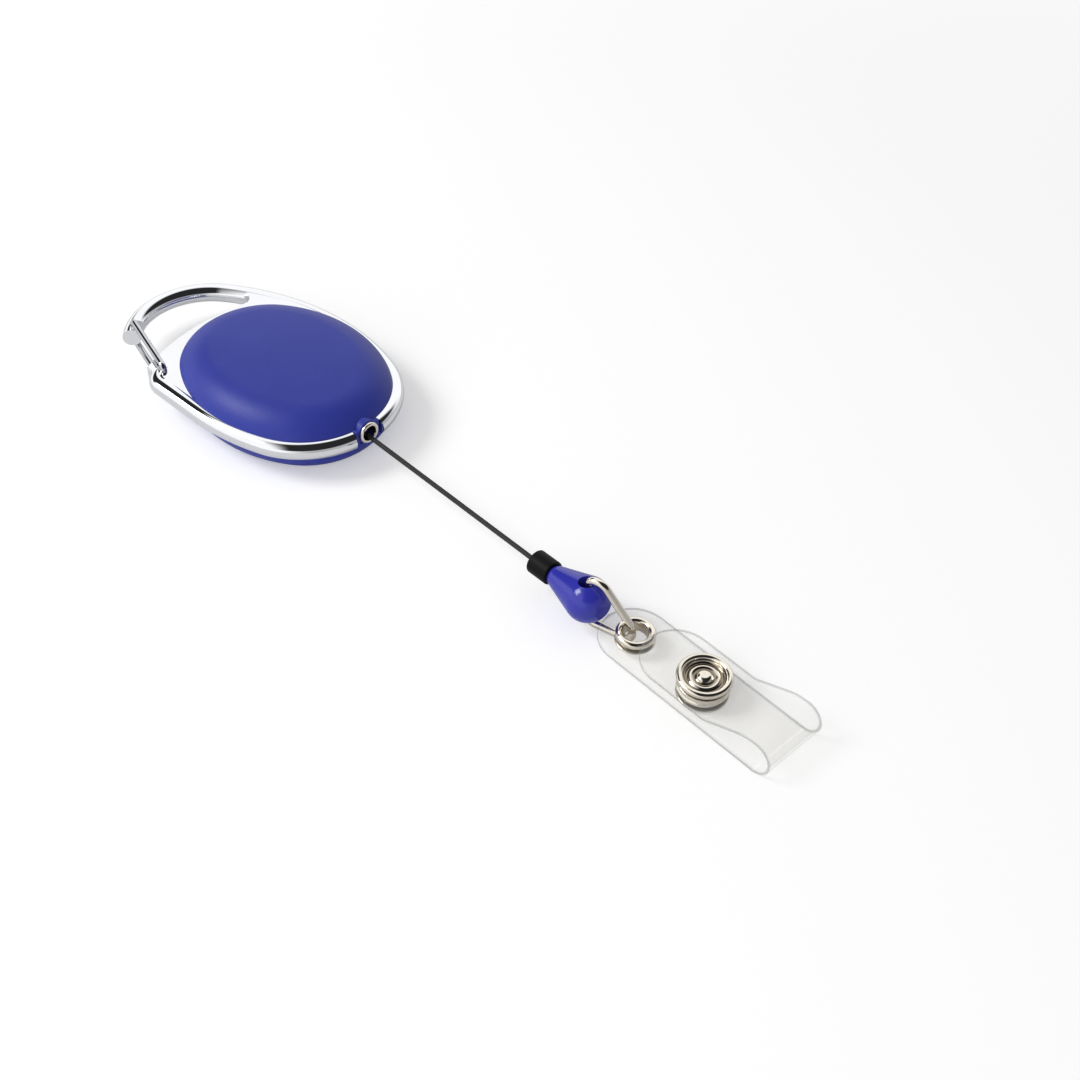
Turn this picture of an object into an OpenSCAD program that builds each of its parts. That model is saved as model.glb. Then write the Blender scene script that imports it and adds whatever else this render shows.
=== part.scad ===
// Retractable badge reel: an oval case in a metal band that is drawn out into a hook,
// a spring drum inside, a cord with a bead at its end, and a clear strap with a snap.
// The origin is on the drum's axis, on the flat underside. +X is the way the cord leaves.

/* [Case] */
// Length of the covers along the cord
case_l = 44.8; // [43:0.2:48]
// Width of the covers
case_w = 35.5; // [34.5:0.1:38]
// Height of the whole case
case_h = 13; // [12.6:0.1:15]
// Radius of the covers' round ends
case_end_r = 15.8; // [14.6:0.1:16.4]
// How far in from the edge a cover stays curved
shoulder_w = 6.3; // [5:0.1:7]
// The same on the back cover, which is rounder at its edge
back_shoulder_w = 4.9; // [4.9:0.1:6.3]
// Radius of the front cover's crown
crown_r = 170; // [140:5:400]
// Wall of a cover
cover_wall = 1.3; // [1:0.1:1.5]
// Wall of the skirt that goes into the frame
skirt_wall = 1.2; // [0.9:0.1:1.5]
// Radius of a locating pin
pin_r = 1; // [0.7:0.1:1.1]
// Distance of the locating pins from the drum's axis, along the cord
pin_x = 14.4; // [13.8:0.1:14.8]
// Distance of the locating pins from the drum's axis, sideways
pin_y = 7; // [6.6:0.1:7.2]

/* [Frame] */
// Thickness of the round band
band_d = 3.6; // [3.4:0.1:4.2]
// Thickness of the flat plate
plate_t = 3.2; // [2.8:0.1:3.3]
// Reach of the band past the front of the covers
band_front = 1.8; // [1.5:0.1:2.4]
// Reach of the band past the sides of the covers
band_side = 1.85; // [1.6:0.05:2.4]
// How much less than half its width the band's front radius is
front_step = 1.6; // [1.2:0.1:2.6]
// Place of the band's widest point along the cord
waist_x = -3.6; // [-5:0.1:-3]
// Width of the seat that carries each cover
seat_w = 2.2; // [1.8:0.1:2.6]
// Outer radius of the hook
hook_r = 15.6; // [15:0.1:16.2]
// Sideways place of the hook's centre
hook_y = -2; // [-3:0.1:-1]
// Angle at which the hook ends
hook_tip_angle = 230; // [226:1:236]
// Place of the bar's edge on the centre line
bar_x = -24; // [-25:0.1:-23.6]
// Radius of the bar's edge
bar_r = 40; // [36:1:60]
// Width of the gap where the cord leaves
exit_gap = 5.8; // [5.2:0.1:6.6]

/* [Gate] */
// Thickness of the gate's wire
gate_d = 1.3; // [1:0.05:1.5]
// Bend radius of the gate's wire
gate_bend_r = 1.2; // [0.9:0.1:1.6]
// Angle along the hook at which the gate closes
gate_seat_angle = 221; // [217:1:223]
// Metal left outside the gate's seat
gate_lip = 1.2; // [0.9:0.1:1.6]
// Distance of the gate's pivot from the shoulder's corner, along the band
gate_in = 1.2; // [0.8:0.1:2]
// Distance of the gate's pivot from the middle of the band
gate_off = 2.1; // [1.9:0.1:2.6]

/* [Drum] */
// Thickness of the spring arbor
arbor_d = 3.2; // [2.8:0.1:3.6]
// Width of the slot that holds the spring
arbor_slot = 0.5; // [0.4:0.05:0.7]
// Radius of the drum's flanges
flange_r = 12.4; // [12.1:0.1:12.8]
// Radius of the drum's barrel
barrel_r = 9.4; // [9:0.1:9.8]
// Wall of the barrel
barrel_wall = 1; // [0.8:0.1:1.2]
// Height of the space for the cord
winding_h = 5.6; // [5.4:0.1:5.8]
// Thickness of the drum's web
web_t = 0.9; // [0.7:0.1:1.1]
// Thickness of the lid
lid_t = 0.8; // [0.6:0.1:1]
// Height of the thrust bosses
thrust_h = 0.5; // [0.4:0.1:0.7]
// Thickness of the spring strip
spring_t = 0.25; // [0.2:0.01:0.3]
// Turns of the spring
spring_turns = 7; // [5:1:8]
// Depth of the inner turns of cord
core_depth = 1.5; // [1:0.1:1.6]
// Turns of cord in the outer layer
outer_turns = 1.7; // [1.2:0.1:1.7]

/* [Cord end] */
// Thickness of the cord
cord_d = 0.9; // [0.7:0.05:1]
// Height of the bead's middle above the surface
pull_z = 5.6; // [5.55:0.05:5.8]
// Way the cord turns aside as it leaves, in degrees
chain_turn = -2.2; // [-6:0.1:6]
// Height of the exit eyelet above the middle of the case
exit_up = 0.7; // [0.4:0.1:0.9]
// Outer diameter of the exit eyelet
exit_d = 4.2; // [4:0.1:4.8]
// Bore of the exit eyelet
exit_bore = 2.8; // [2.7:0.05:3]
// Thickness of the exit eyelet's flange
exit_flange_t = 0.7; // [0.5:0.1:0.9]
// Place of the ferrule's face
ferrule_x = 67.5; // [60:0.5:80]
// Length of the ferrule
ferrule_l = 4.5; // [3.5:0.1:6]
// Diameter of the ferrule
ferrule_d = 4.4; // [3.8:0.1:5]
// Length of the bead
bead_l = 11.9; // [11.5:0.1:13]
// Diameter of the bead
bead_d = 8.1; // [7.6:0.1:8.2]
// Diameter of the bead's neck
neck_d = 3.5; // [3:0.1:4]
// Diameter of the bead's flat front
bead_front_d = 3.4; // [2.6:0.1:4]
// Diameter of the bead's cross hole
cross_d = 3; // [2.8:0.1:3.2]
// Thickness of the loop's wire
loop_d = 1.4; // [1.2:0.05:1.45]
// Distance from the cross hole's wire to the strap's wire
loop_l = 8.6; // [8.4:0.1:10]
// Way the loop turns aside from the cord, in degrees
loop_turn = 13; // [-20:1:20]
// Radius of the loop's corner that carries the strap
loop_corner_r = 1.5; // [1.4:0.1:1.7]

/* [Strap] */
// Way the strap turns aside from the case, in degrees
strap_turn = -1.6; // [-10:0.1:10]
// Width of the strap
strap_w = 12.7; // [11:0.1:14]
// Thickness of the strap
strap_t = 0.5; // [0.4:0.05:0.6]
// Distance from the eyelet to the fold
fold_x = 31; // [30:0.5:36]
// Radius of the fold at the middle of the strap
fold_r = 3.1; // [2.9:0.1:3.6]
// Distance from the eyelet to the end of the flap
flap_x = 3; // [1:0.1:4]
// Steepness of the flap beside the fold
flap_slope = 24; // [24:1:38]
// Outer diameter of the strap's eyelet
eyelet_d = 6.9; // [6.4:0.1:7.6]
// Bore of the strap's eyelet
eyelet_bore = 4.2; // [4:0.1:4.4]
// Distance from the eyelet to the snap
snap_x = 15.1; // [14.6:0.1:16]
// Diameter of the snap's cap
snap_d = 9.4; // [9:0.1:9.6]

/* [Hidden] */
$fn = 64;

// Clearances that all pieces share
fit_gap = 0.05;
seat_gap = 0.1;
run_gap = 0.15;
wide_gap = 0.3;
// Reach of a cut past the faces it opens
over = 1;

// Levels of the case
mid_z = case_h / 2;
plate_top = mid_z + plate_t / 2;
cover_h = case_h - plate_top;
crown_drop = pow(case_l / 2 - shoulder_w, 2) / (2 * crown_r);
ceiling_z = case_h - cover_wall - crown_drop;
drum_z = cover_wall + thrust_h + run_gap;
winding_z = drum_z + lid_t;
web_z = winding_z + winding_h;
drum_top = web_z + web_t + thrust_h;

// The oval of the covers: two end arcs and two side arcs that meet smoothly
case_a = case_l / 2;
case_b = case_w / 2;
function side_radius(a, b, r) = (pow(a - r, 2) + b * b - r * r) / (2 * (b - r));
case_side_r = side_radius(case_a, case_b, case_end_r);
case_end_c = case_a - case_end_r;
case_side_c = case_side_r - case_b;
case_join = atan2(case_side_c, case_end_c);
skirt_in = seat_w + seat_gap;
cavity_in = skirt_in + skirt_wall;
function shoulder_radius(w) = (w * w + cover_h * cover_h) / (2 * cover_h);
// Steps round an end, along a side and up the shoulder, and the rings that carry the crown
end_steps = 24;
side_steps = 16;
shoulder_steps = 8;
crown_rings = [0.67, 0.33];
// Steps round a bend
bend_steps = 8;

// The band: a front arc, two side arcs, and the hook's arc that the far side runs into
band_r = band_d / 2;
band_b = case_b + band_side;
band_front_x = case_a + band_front;
front_r = band_b - front_step;
band_side_r = side_radius(band_front_x - waist_x, band_b, front_r);
band_side_c = band_side_r - band_b;
front_x = band_front_x - front_r;
front_join = atan2(band_side_c, front_x - waist_x);
hook_x = waist_x - sqrt(pow(band_side_r - hook_r, 2) - pow(hook_y + band_side_c, 2));
hook_join = atan2(hook_y + band_side_c, hook_x - waist_x);
function bar_edge(y) = bar_x + bar_r - sqrt(bar_r * bar_r - y * y);
gate_side_y = -(band_b - band_r);
corner_x = bar_edge(gate_side_y) + band_r;
// Bend of the band at the shoulder's corner
root_r = 3;
band_line = band_side_r - band_r;

// The gate: a wire that pivots in the shoulder and rests inside the hook's nose
gate_p = [corner_x + gate_in, gate_side_y + gate_off];
gate_seat_r = hook_r - gate_lip - run_gap - gate_d / 2;
gate_e = [hook_x + gate_seat_r * cos(gate_seat_angle), hook_y + gate_seat_r * sin(gate_seat_angle)];
gate_l = norm(gate_e - gate_p);
gate_turn = atan2(gate_e.y - gate_p.y, gate_e.x - gate_p.x);
gate_z = band_r + run_gap + gate_d / 2;
gate_tail = 0.3;
// Swing over which the hook's nose is cut away
nose_swing = 14;

// Steps in one turn of spring and of cord
spring_steps = 20;
cord_steps = 24;

// The drum and what turns with it
arbor_r = arbor_d / 2;
arbor_seat = 0.8;
hub_wall = 1.6;
bearing_r = arbor_r + fit_gap;
hub_r = arbor_r + hub_wall;
core_r = barrel_r + core_depth;
cord_r = cord_d / 2;
turn_r = (core_r + fit_gap + cord_r) / cos(180 / cord_steps);
turn_gap = 0.45;
turn_pitch = cord_d + turn_gap;
spring_start = 0.4;
spring_r0 = arbor_r + spring_start;
spring_r1 = barrel_r - barrel_wall - run_gap - spring_t / 2;
spring_pitch = (spring_r1 - spring_r0) / spring_turns;
spring_h = winding_h - 2 * wide_gap;

// The exit: a nose on the covers that carries the eyelet's barrel
nose_in = 1.1;
nose_x = band_front_x - nose_in;
nose_w = exit_gap - 2 * run_gap;
exit_in = 2.5;
exit_wall = 0.3;
exit_barrel_r = exit_bore / 2 + exit_wall;
exit_z = mid_z + exit_up;
exit_boss_r = exit_barrel_r + 2 * exit_wall;
// The way that the lead takes through the skirt
lead_slot = 4.6;
lead_slot_h = 1.5;

// Route of the cord from the drum to the exit, and its straight run from there to the bead
lead_route = [[5.9, -9.9, 5.6], [8.9, -8, 5.7], [11.9, -6.1, 5.8], [14.9, -4.2, 5.9],
              [17.9, -2.2, 6.1], [19.4, -1, 6.25], [20.6, -0.3, 6.35], [21.4, -0.1, 6.35],
              [22.2, 0, 6.3], [23, 0, 6.3]];
cord_out = lead_route[len(lead_route) - 1];
// Longest step along the cord, and the sides of its section
cord_ring = 2.6;
cord_sides = 8;
turn_sides = 6;

// The bead
bead_x = ferrule_x + ferrule_l;
bead_r = bead_d / 2;
bead_end = bead_x + bead_l;
bulb_x = bead_end - sqrt(pow(bead_r, 2) - pow(bead_front_d / 2, 2));
cross_back = 0.3;
cross_x = bulb_x - cross_back;
knot_r = 1.25;
knot_back = 0.6;
knot_x = cross_x - cross_d / 2 - knot_back;
cord_tip = knot_x - knot_r - fit_gap;
pocket_r = knot_r + run_gap;
neck_bore_r = cord_r + seat_gap;
knot_pinch = 0.35;
ferrule_round = 0.35;
// How far inside the bulb the bead's cone aims
cone_in = 0.97;

// The wire loop, in the upright plane of the cord
loop_r = loop_d / 2;
loop_in = 0.5;
loop_x = cross_x + loop_in;
loop_z = loop_r + fit_gap;
loop_top = pull_z + bead_r + run_gap + loop_r;
loop_rise = 2.9;
loop_level = 2.8;
loop_path = [[0, loop_z], [loop_l, loop_z], [loop_l, loop_z + loop_rise], [loop_level, loop_top],
             [0, loop_top]];
loop_radii = [1.2, loop_corner_r, 2.5, 2.2, 1.4];
loop_sides = 12;

// The strap lies on the loop's wire at one end and on the surface at its fold
eyelet_back = 0.75;
loop_way = chain_turn + loop_turn;
strap_at = chain_point(loop_x) + loop_l * [cos(loop_way), sin(loop_way), 0]
           + eyelet_back * [cos(strap_turn), sin(strap_turn), 0];
eyelet_flange_t = 0.45;
eyelet_wall = 0.3;
eyelet_z = 2 * loop_r + 2 * fit_gap + eyelet_flange_t;
strap_tilt = asin(eyelet_z / fold_x);
eyelet_roll = (eyelet_d - eyelet_bore) / 4;
fold_z = strap_t / 2 + fold_r;
fold_slit = 0.4;
fold_steps = 12;
snap_r = snap_d / 2;
rivet_r = 1.5;
rivet_hole = rivet_r + seat_gap;
rivet_wall = 0.3;
// Levels of the snap, from the underside of the strap
stud_flange_t = 0.4;
stud_z = strap_t + stud_flange_t;
stud_h = 1.2;
stud_r = 2.1;
socket_z = stud_z + seat_gap;
socket_h = 1.5;
socket_roof = 0.3;
socket_in = 0.5;
flap_z = socket_z + socket_h;
cap_z = flap_z + strap_t;
cap_roll = 0.6;
cap_floor = 0.3;
post_t = 0.5;
flap_bend_in = 3;
flap_bend_out = 10;
flap_rise = fold_z + fold_r - flap_z - strap_t / 2;
flap_flat_x = snap_x + snap_r + seat_gap;
flap_bends = flap_bend_in + flap_bend_out;
flap_run = (flap_rise - flap_bends * (1 - cos(flap_slope))) / sin(flap_slope);
flap_knee_x = flap_flat_x + flap_bends * sin(flap_slope) + flap_run * cos(flap_slope);

function toward(a) = [cos(a), sin(a)];

// A skin of triangles over equal rings of points, with flat ends or joined into a closed loop
module skin(rings, closed = false) {
    n = len(rings[0]);
    m = len(rings);
    points = [for (ring = rings) for (p = ring) p];
    sides = [for (i = [0 : closed ? m - 1 : m - 2]) for (j = [0 : n - 1]) for (half = [0, 1])
             let (k = (i + 1) % m, l = (j + 1) % n)
             half == 0 ? [i * n + l, i * n + j, k * n + j] : [k * n + l, i * n + l, k * n + j]];
    caps = [for (j = [1 : n - 2]) for (end = [0, 1])
            end == 0 ? [0, j, j + 1] : [(m - 1) * n, (m - 1) * n + j + 1, (m - 1) * n + j]];
    polyhedron(points, concat(sides, closed ? [] : caps), convexity = 6);
}

// Rings of a tube of radius r round a route of points
function unit(v) = v / norm(v);
function along(route, i, closed = false) =
    let (n = len(route),
         next = closed ? (i + 1) % n : min(i + 1, n - 1),
         last = closed ? (i + n - 1) % n : max(i - 1, 0))
    unit(route[next] - route[last]);
function tube_rings(route, r, sides, closed = false) =
    [for (i = [0 : len(route) - 1])
        let (t = along(route, i, closed), n = unit(cross(t, [0, 0, 1])), b = cross(n, t))
        [for (k = [0 : sides - 1])
            let (c = toward(360 * k / sides))
            route[i] + r * (c.x * n + c.y * b)]];

// Points round part of a circle
function arc_points(centre, r, from, to, steps) =
    [for (i = [0 : steps]) centre + r * toward(from + (to - from) * i / steps)];

// A route without the points that only repeat the one before
function spaced(route) =
    [for (i = [0 : len(route) - 1])
        if (i == 0 || norm(route[i] - route[i - 1]) > fit_gap) route[i]];

// Points of a closed path whose corners are bent to their own radii
function turn_of(u, v) = atan2(u.x * v.y - u.y * v.x, u * v);
function bend_points(path, radii, steps) =
    let (n = len(path))
    [for (i = [0 : n - 1])
        let (u = unit(path[i] - path[(i + n - 1) % n]),
             v = unit(path[(i + 1) % n] - path[i]),
             a = turn_of(u, v),
             s = sign(a),
             centre = path[i] - radii[i] * tan(abs(a) / 2) * u + s * radii[i] * [-u.y, u.x],
             from = atan2(-s * u.x, s * u.y))
        each arc_points(centre, radii[i], from, from + a, steps)];

// Rings of an upright strip of thickness t and height h along a flat route
function strip_rings(route, t, z, h) =
    [for (i = [0 : len(route) - 1])
        let (d = along(route, i), n = [-d.y, d.x] * t / 2, p = route[i])
        [[p.x - n.x, p.y - n.y, z], [p.x + n.x, p.y + n.y, z],
         [p.x + n.x, p.y + n.y, z + h], [p.x - n.x, p.y - n.y, z + h]]];

// A section swept along the corners of a flat path, with each corner bent to its own radius
module bent(path, radii) {
    n = len(path);
    function dir(i) = unit(path[i + 1] - path[i]);
    function turn(i) = i > 0 && i < n - 1 ? turn_of(dir(i - 1), dir(i)) : 0;
    function cut(i) = radii[i] * tan(abs(turn(i)) / 2);
    for (i = [0 : n - 2]) {
        l = norm(path[i + 1] - path[i]) - cut(i) - cut(i + 1);
        if (l > fit_gap)
            translate(path[i] + cut(i) * dir(i))
                rotate([0, 0, atan2(dir(i).y, dir(i).x)])
                    rotate([90, 0, 90]) linear_extrude(l) children();
    }
    for (i = [1 : n - 2]) {
        a = turn(i);
        s = sign(a);
        u = dir(i - 1);
        from = atan2(-s * u.x, s * u.y);
        translate(path[i] - cut(i) * u + s * radii[i] * [-u.y, u.x])
            rotate([0, 0, min(from, from + a)])
                rotate_extrude(angle = abs(a)) translate([radii[i], 0]) children();
    }
}

// Points of the covers' oval, grown or shrunk by d
function half_oval(d) = concat(
    [for (i = [0 : end_steps - 1]) [case_end_c, 0]
        + (case_end_r + d) * toward(case_join * (2 * i / end_steps - 1))],
    [for (i = [0 : side_steps - 1]) [0, -case_side_c]
        + (case_side_r + d) * toward(case_join + (180 - 2 * case_join) * i / side_steps)]);
function oval_points(d) = concat(half_oval(d), -half_oval(d));

module oval_prism(d, z, h) {
    translate([0, 0, z]) linear_extrude(h) polygon(oval_points(d));
}

// Half a case, from the frame's plate to its top, which falls away from the middle by its crown
function shoulder_turn(r, i) =
    let (low = asin(1 - cover_h / r))
    low + (90 - low) * i / shoulder_steps;
function dome_point(p, z, crown) =
    [p.x, p.y, plate_top + z * (1 - crown * (p * p) / (2 * crown_r) / cover_h)];
function shoulder_ring(w, i, crown) =
    let (r = shoulder_radius(w), a = shoulder_turn(r, i))
    [for (p = oval_points(r * cos(a) - w)) dome_point(p, cover_h - r * (1 - sin(a)), crown)];
function dome_rings(w, crown) = concat(
    [for (i = [0 : shoulder_steps]) shoulder_ring(w, i, crown)],
    [for (k = crown > 0 ? crown_rings : [])
        [for (p = oval_points(-w)) dome_point(k * p, cover_h, crown)]]);

module dome(w, crown) {
    skin(dome_rings(w, crown));
}

module each_pin() {
    for (x = [-pin_x, pin_x])
        for (y = [-pin_y, pin_y])
            translate([x, y, 0]) children();
}

module along_exit(r, x, l, z) {
    translate([x, 0, z]) rotate([0, 90, 0]) cylinder(r = r, h = l);
}

// A cover's shell above the middle, with its half of the nose that carries the exit eyelet
module shell(ceiling, exit_h) {
    nose_back = case_a - cavity_in - over;
    difference() {
        union() {
            children();
            oval_prism(-skirt_in, mid_z, plate_t / 2 + wide_gap);
            translate([nose_back, -nose_w / 2, mid_z])
                cube([nose_x - nose_back, nose_w, plate_t / 2 + wide_gap]);
            intersection() {
                along_exit(exit_boss_r, nose_back, nose_x - nose_back, exit_h);
                translate([0, -case_b, mid_z]) cube([case_l, case_w, case_h]);
            }
        }
        oval_prism(-cavity_in, mid_z - over, ceiling - mid_z + over);
        along_exit(exit_barrel_r + fit_gap, nose_x - exit_in, exit_in + over, exit_h);
        translate([nose_back - over, -lead_slot / 2, mid_z - over])
            cube([nose_x - exit_in + over - nose_back, lead_slot, lead_slot_h + over]);
    }
}

module front_cover() {
    color([0.2, 0.22, 0.6])
        difference() {
            union() {
                shell(ceiling_z, exit_z) dome(shoulder_w, 1);
                each_pin() translate([0, 0, mid_z])
                    cylinder(r = 2 * pin_r, h = ceiling_z - mid_z + seat_gap);
                translate([0, 0, drum_top + run_gap])
                    cylinder(r = hub_r, h = ceiling_z - drum_top - run_gap + seat_gap);
            }
            each_pin() translate([0, 0, mid_z - over])
                cylinder(r = pin_r + fit_gap, h = over + (ceiling_z - mid_z) / 2 + run_gap);
            translate([0, 0, drum_top - over])
                cylinder(r = arbor_r + fit_gap, h = over + run_gap + arbor_seat);
        }
}

module back_cover() {
    color([0.2, 0.22, 0.6])
        difference() {
            union() {
                translate([0, 0, case_h]) mirror([0, 0, 1])
                    shell(case_h - cover_wall, case_h - exit_z) dome(back_shoulder_w, 0);
                each_pin() translate([0, 0, cover_wall - seat_gap])
                    cylinder(r = pin_r, h = (ceiling_z + mid_z) / 2 - cover_wall + seat_gap);
                translate([0, 0, cover_wall - seat_gap])
                    cylinder(r = hub_r, h = thrust_h + seat_gap);
            }
            translate([0, 0, cover_wall - arbor_seat])
                cylinder(r = arbor_r + fit_gap, h = arbor_seat + thrust_h + over);
        }
}

// The flat plate between the covers and the band, with the shoulder that carries the gate
module plate_outline() {
    inside = band_line - band_r / 4;
    intersection() {
        polygon(spaced(concat(
            arc_points([waist_x, band_side_c], inside, -90, -front_join, side_steps),
            arc_points([front_x, 0], front_r - 5 * band_r / 4, -front_join, front_join, end_steps),
            arc_points([waist_x, -band_side_c], inside, front_join, hook_join, side_steps),
            [[hook_x, 0], [hook_x, gate_side_y + band_r / 4]])));
        translate([bar_x + bar_r, 0]) circle(bar_r);
    }
}

// A piece of the band round part of a circle, a little short so that a knuckle can join it to the next
module band_arc(centre, r, from, to) {
    trim = asin(run_gap / r);
    translate(centre)
        rotate([0, 0, from + trim])
            rotate_extrude(angle = to - from - 2 * trim) translate([r, 0]) circle(band_r);
}

module knuckle(centre, r, angle) {
    translate(centre + r * toward(angle))
        rotate([90, 0, angle])
            sphere(band_r + fit_gap);
}

module band() {
    front = [front_x, 0];
    far_side = [waist_x, -band_side_c];
    near_side = [waist_x, band_side_c];
    hook = [hook_x, hook_y];
    corner = [corner_x + root_r, gate_side_y + root_r];
    translate([0, 0, mid_z]) {
        band_arc(front, front_r - band_r, -front_join, front_join);
        band_arc(far_side, band_line, front_join, hook_join);
        band_arc(hook, hook_r - band_r, hook_join, hook_tip_angle);
        band_arc(near_side, band_line, -90, -front_join);
        band_arc(corner, root_r, 180, 270);
        translate([corner.x + run_gap, gate_side_y, 0])
            rotate([0, 90, 0]) cylinder(r = band_r, h = waist_x - corner.x - 2 * run_gap);
        knuckle(front, front_r - band_r, front_join);
        knuckle(front, front_r - band_r, -front_join);
        knuckle(hook, hook_r - band_r, hook_join);
        knuckle(hook, hook_r - band_r, hook_tip_angle);
        knuckle(near_side, band_line, -90);
        knuckle(corner, root_r, 270);
        knuckle(corner, root_r, 180);
    }
}

module chrome_frame() {
    slot_r = gate_d / 2 + run_gap;
    color([0.85, 0.86, 0.88])
        difference() {
            union() {
                translate([0, 0, mid_z - plate_t / 2]) linear_extrude(plate_t) plate_outline();
                band();
            }
            oval_prism(-seat_w, -over, case_h + 2 * over);
            oval_prism(seat_gap, plate_top - fit_gap, case_h);
            oval_prism(seat_gap, mid_z - plate_t / 2 - case_h + fit_gap, case_h);
            translate([case_a - case_end_r, -exit_gap / 2, 0]) cube([case_l, exit_gap, case_h]);
            translate([gate_p.x, gate_p.y, 0]) cylinder(r = gate_d / 2 + fit_gap, h = case_h);
            translate([gate_e.x, gate_e.y, 0]) cylinder(r = slot_r, h = case_h);
            translate([gate_p.x, gate_p.y, 0])
                rotate([0, 0, gate_turn - nose_swing])
                    rotate_extrude(angle = nose_swing)
                        translate([gate_l - slot_r, 0]) square([2 * slot_r, case_h]);
        }
}

module gate_wire() {
    path = [[0, gate_tail], [0, gate_z], [gate_l, gate_z],
            [gate_l, -gate_z], [0, -gate_z], [0, -gate_tail]];
    color([0.8, 0.81, 0.83])
        translate([gate_p.x, gate_p.y, mid_z])
            rotate([0, 0, gate_turn])
                rotate([90, 0, 0])
                    bent(path, [0, gate_bend_r, gate_bend_r, gate_bend_r, gate_bend_r, 0])
                        circle(d = gate_d);
}

module exit_eyelet() {
    lip = exit_flange_t / 2;
    color([0.8, 0.78, 0.74])
        translate([0, 0, exit_z])
            rotate([0, 90, 0])
                rotate_extrude()
                    difference() {
                        union() {
                            translate([0, nose_x - exit_in]) square([exit_barrel_r, exit_in]);
                            translate([0, nose_x]) square([exit_d / 2 - lip, exit_flange_t]);
                            translate([exit_d / 2 - lip, nose_x + lip]) circle(lip);
                        }
                        translate([0, nose_x - exit_in - over])
                            square([exit_bore / 2, exit_in + exit_flange_t + 2 * over]);
                    }
}

module spring_arbor() {
    bottom = cover_wall - arbor_seat + fit_gap;
    top = drum_top + run_gap + arbor_seat - fit_gap;
    color([0.7, 0.7, 0.72])
        difference() {
            translate([0, 0, bottom]) cylinder(r = arbor_r, h = top - bottom);
            translate([-arbor_d, -arbor_slot / 2, winding_z])
                cube([2 * arbor_d, arbor_slot, winding_h]);
        }
}

module mainspring() {
    tab = [[-arbor_r / 2, 0], [arbor_r / 2, 0]];
    coil = [for (i = [0 : spring_turns * spring_steps])
            (spring_r0 + spring_pitch * i / spring_steps) * toward(360 * i / spring_steps)];
    color([0.45, 0.5, 0.6])
        skin(strip_rings(concat(tab, coil), spring_t, winding_z + wide_gap, spring_h));
}

module cord_drum() {
    color([0.85, 0.85, 0.82])
        difference() {
            union() {
                translate([0, 0, winding_z]) cylinder(r = barrel_r, h = winding_h + web_t);
                translate([0, 0, web_z]) cylinder(r = flange_r, h = web_t);
                translate([0, 0, web_z]) cylinder(r = hub_r, h = web_t + thrust_h);
            }
            translate([0, 0, winding_z - over])
                cylinder(r = barrel_r - barrel_wall, h = winding_h + over);
            translate([0, 0, web_z - over])
                cylinder(r = bearing_r, h = web_t + thrust_h + 2 * over);
        }
}

module drum_lid() {
    color([0.75, 0.75, 0.72])
        difference() {
            translate([0, 0, drum_z]) cylinder(r = flange_r, h = lid_t);
            translate([0, 0, drum_z - over]) cylinder(r = bearing_r, h = lid_t + 2 * over);
        }
}

module cord_core() {
    color([0.12, 0.12, 0.13])
        translate([0, 0, winding_z + seat_gap])
            rotate_extrude()
                translate([barrel_r + fit_gap / 2, 0])
                    square([core_depth - fit_gap / 2, winding_h - 2 * seat_gap]);
}

// The outer layer of cord climbs the drum to the place where the cord leaves it
turn_end = atan2(lead_route[0].y, lead_route[0].x);
turn_start = turn_end - outer_turns * 360;
function turn_point(a) =
    [turn_r * cos(a), turn_r * sin(a), pull_z + turn_pitch * (a - turn_end) / 360];
turn_points = [for (i = [0 : outer_turns * cord_steps]) turn_point(turn_start + 360 * i / cord_steps)];
turn_last = len(turn_points) - 1;
turn_self_gap = min([for (i = [0 : turn_last]) for (j = [i + cord_steps / 2 : turn_last])
                     norm(turn_points[i] - turn_points[j])]) - cord_d;
echo(least_gap_between_turns = turn_self_gap);

module cord_turns() {
    color([0.1, 0.1, 0.11]) skin(tube_rings(turn_points, cord_r, turn_sides));
}

module cord_lead() {
    color([0.1, 0.1, 0.11])
        skin(tube_rings(lead_route, cord_r, cord_sides));
}

// A point on the cord's line, and the points along a straight run of cord without its last one
function chain_point(x) =
    [cord_out.x, cord_out.y, pull_z] + (x - cord_out.x) * [cos(chain_turn), sin(chain_turn), 0];
function cord_run(from, to) =
    let (n = ceil(norm(to - from) / cord_ring))
    [for (i = [0 : n - 1]) from + (to - from) * i / n];

module free_cord() {
    color([0.1, 0.1, 0.11])
        skin(tube_rings(concat(
            cord_run(cord_out, chain_point(ferrule_x)),
            cord_run(chain_point(ferrule_x), chain_point(cord_tip)),
            [chain_point(cord_tip)]), cord_r, cord_sides));
}

// The frame of the cord's end: turned aside with the cord
module on_chain() {
    translate([cord_out.x, cord_out.y, 0])
        rotate([0, 0, chain_turn])
            translate([-cord_out.x, 0, 0]) children();
}

// Something upright laid along the cord's line, from x on
module on_line(x) {
    translate([x, 0, pull_z]) rotate([0, 90, 0]) children();
}

// A profile drawn in x and radius, turned round the cord's line
module on_cord() {
    translate([0, 0, pull_z])
        rotate([0, 90, 0])
            rotate_extrude() rotate([0, 0, 90]) mirror([0, 1, 0]) children();
}

module stop_ferrule() {
    color([0.16, 0.16, 0.17])
        on_chain() on_cord()
            difference() {
                union() {
                    translate([ferrule_x + ferrule_round, 0])
                        square([ferrule_l - 2 * ferrule_round, ferrule_d / 2]);
                    translate([ferrule_x, 0]) square([ferrule_l, ferrule_d / 2 - ferrule_round]);
                    for (x = [ferrule_x + ferrule_round, ferrule_x + ferrule_l - ferrule_round])
                        translate([x, ferrule_d / 2 - ferrule_round]) circle(ferrule_round);
                }
                translate([ferrule_x - over, 0]) square([ferrule_l + 2 * over, neck_bore_r]);
            }
}

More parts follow.
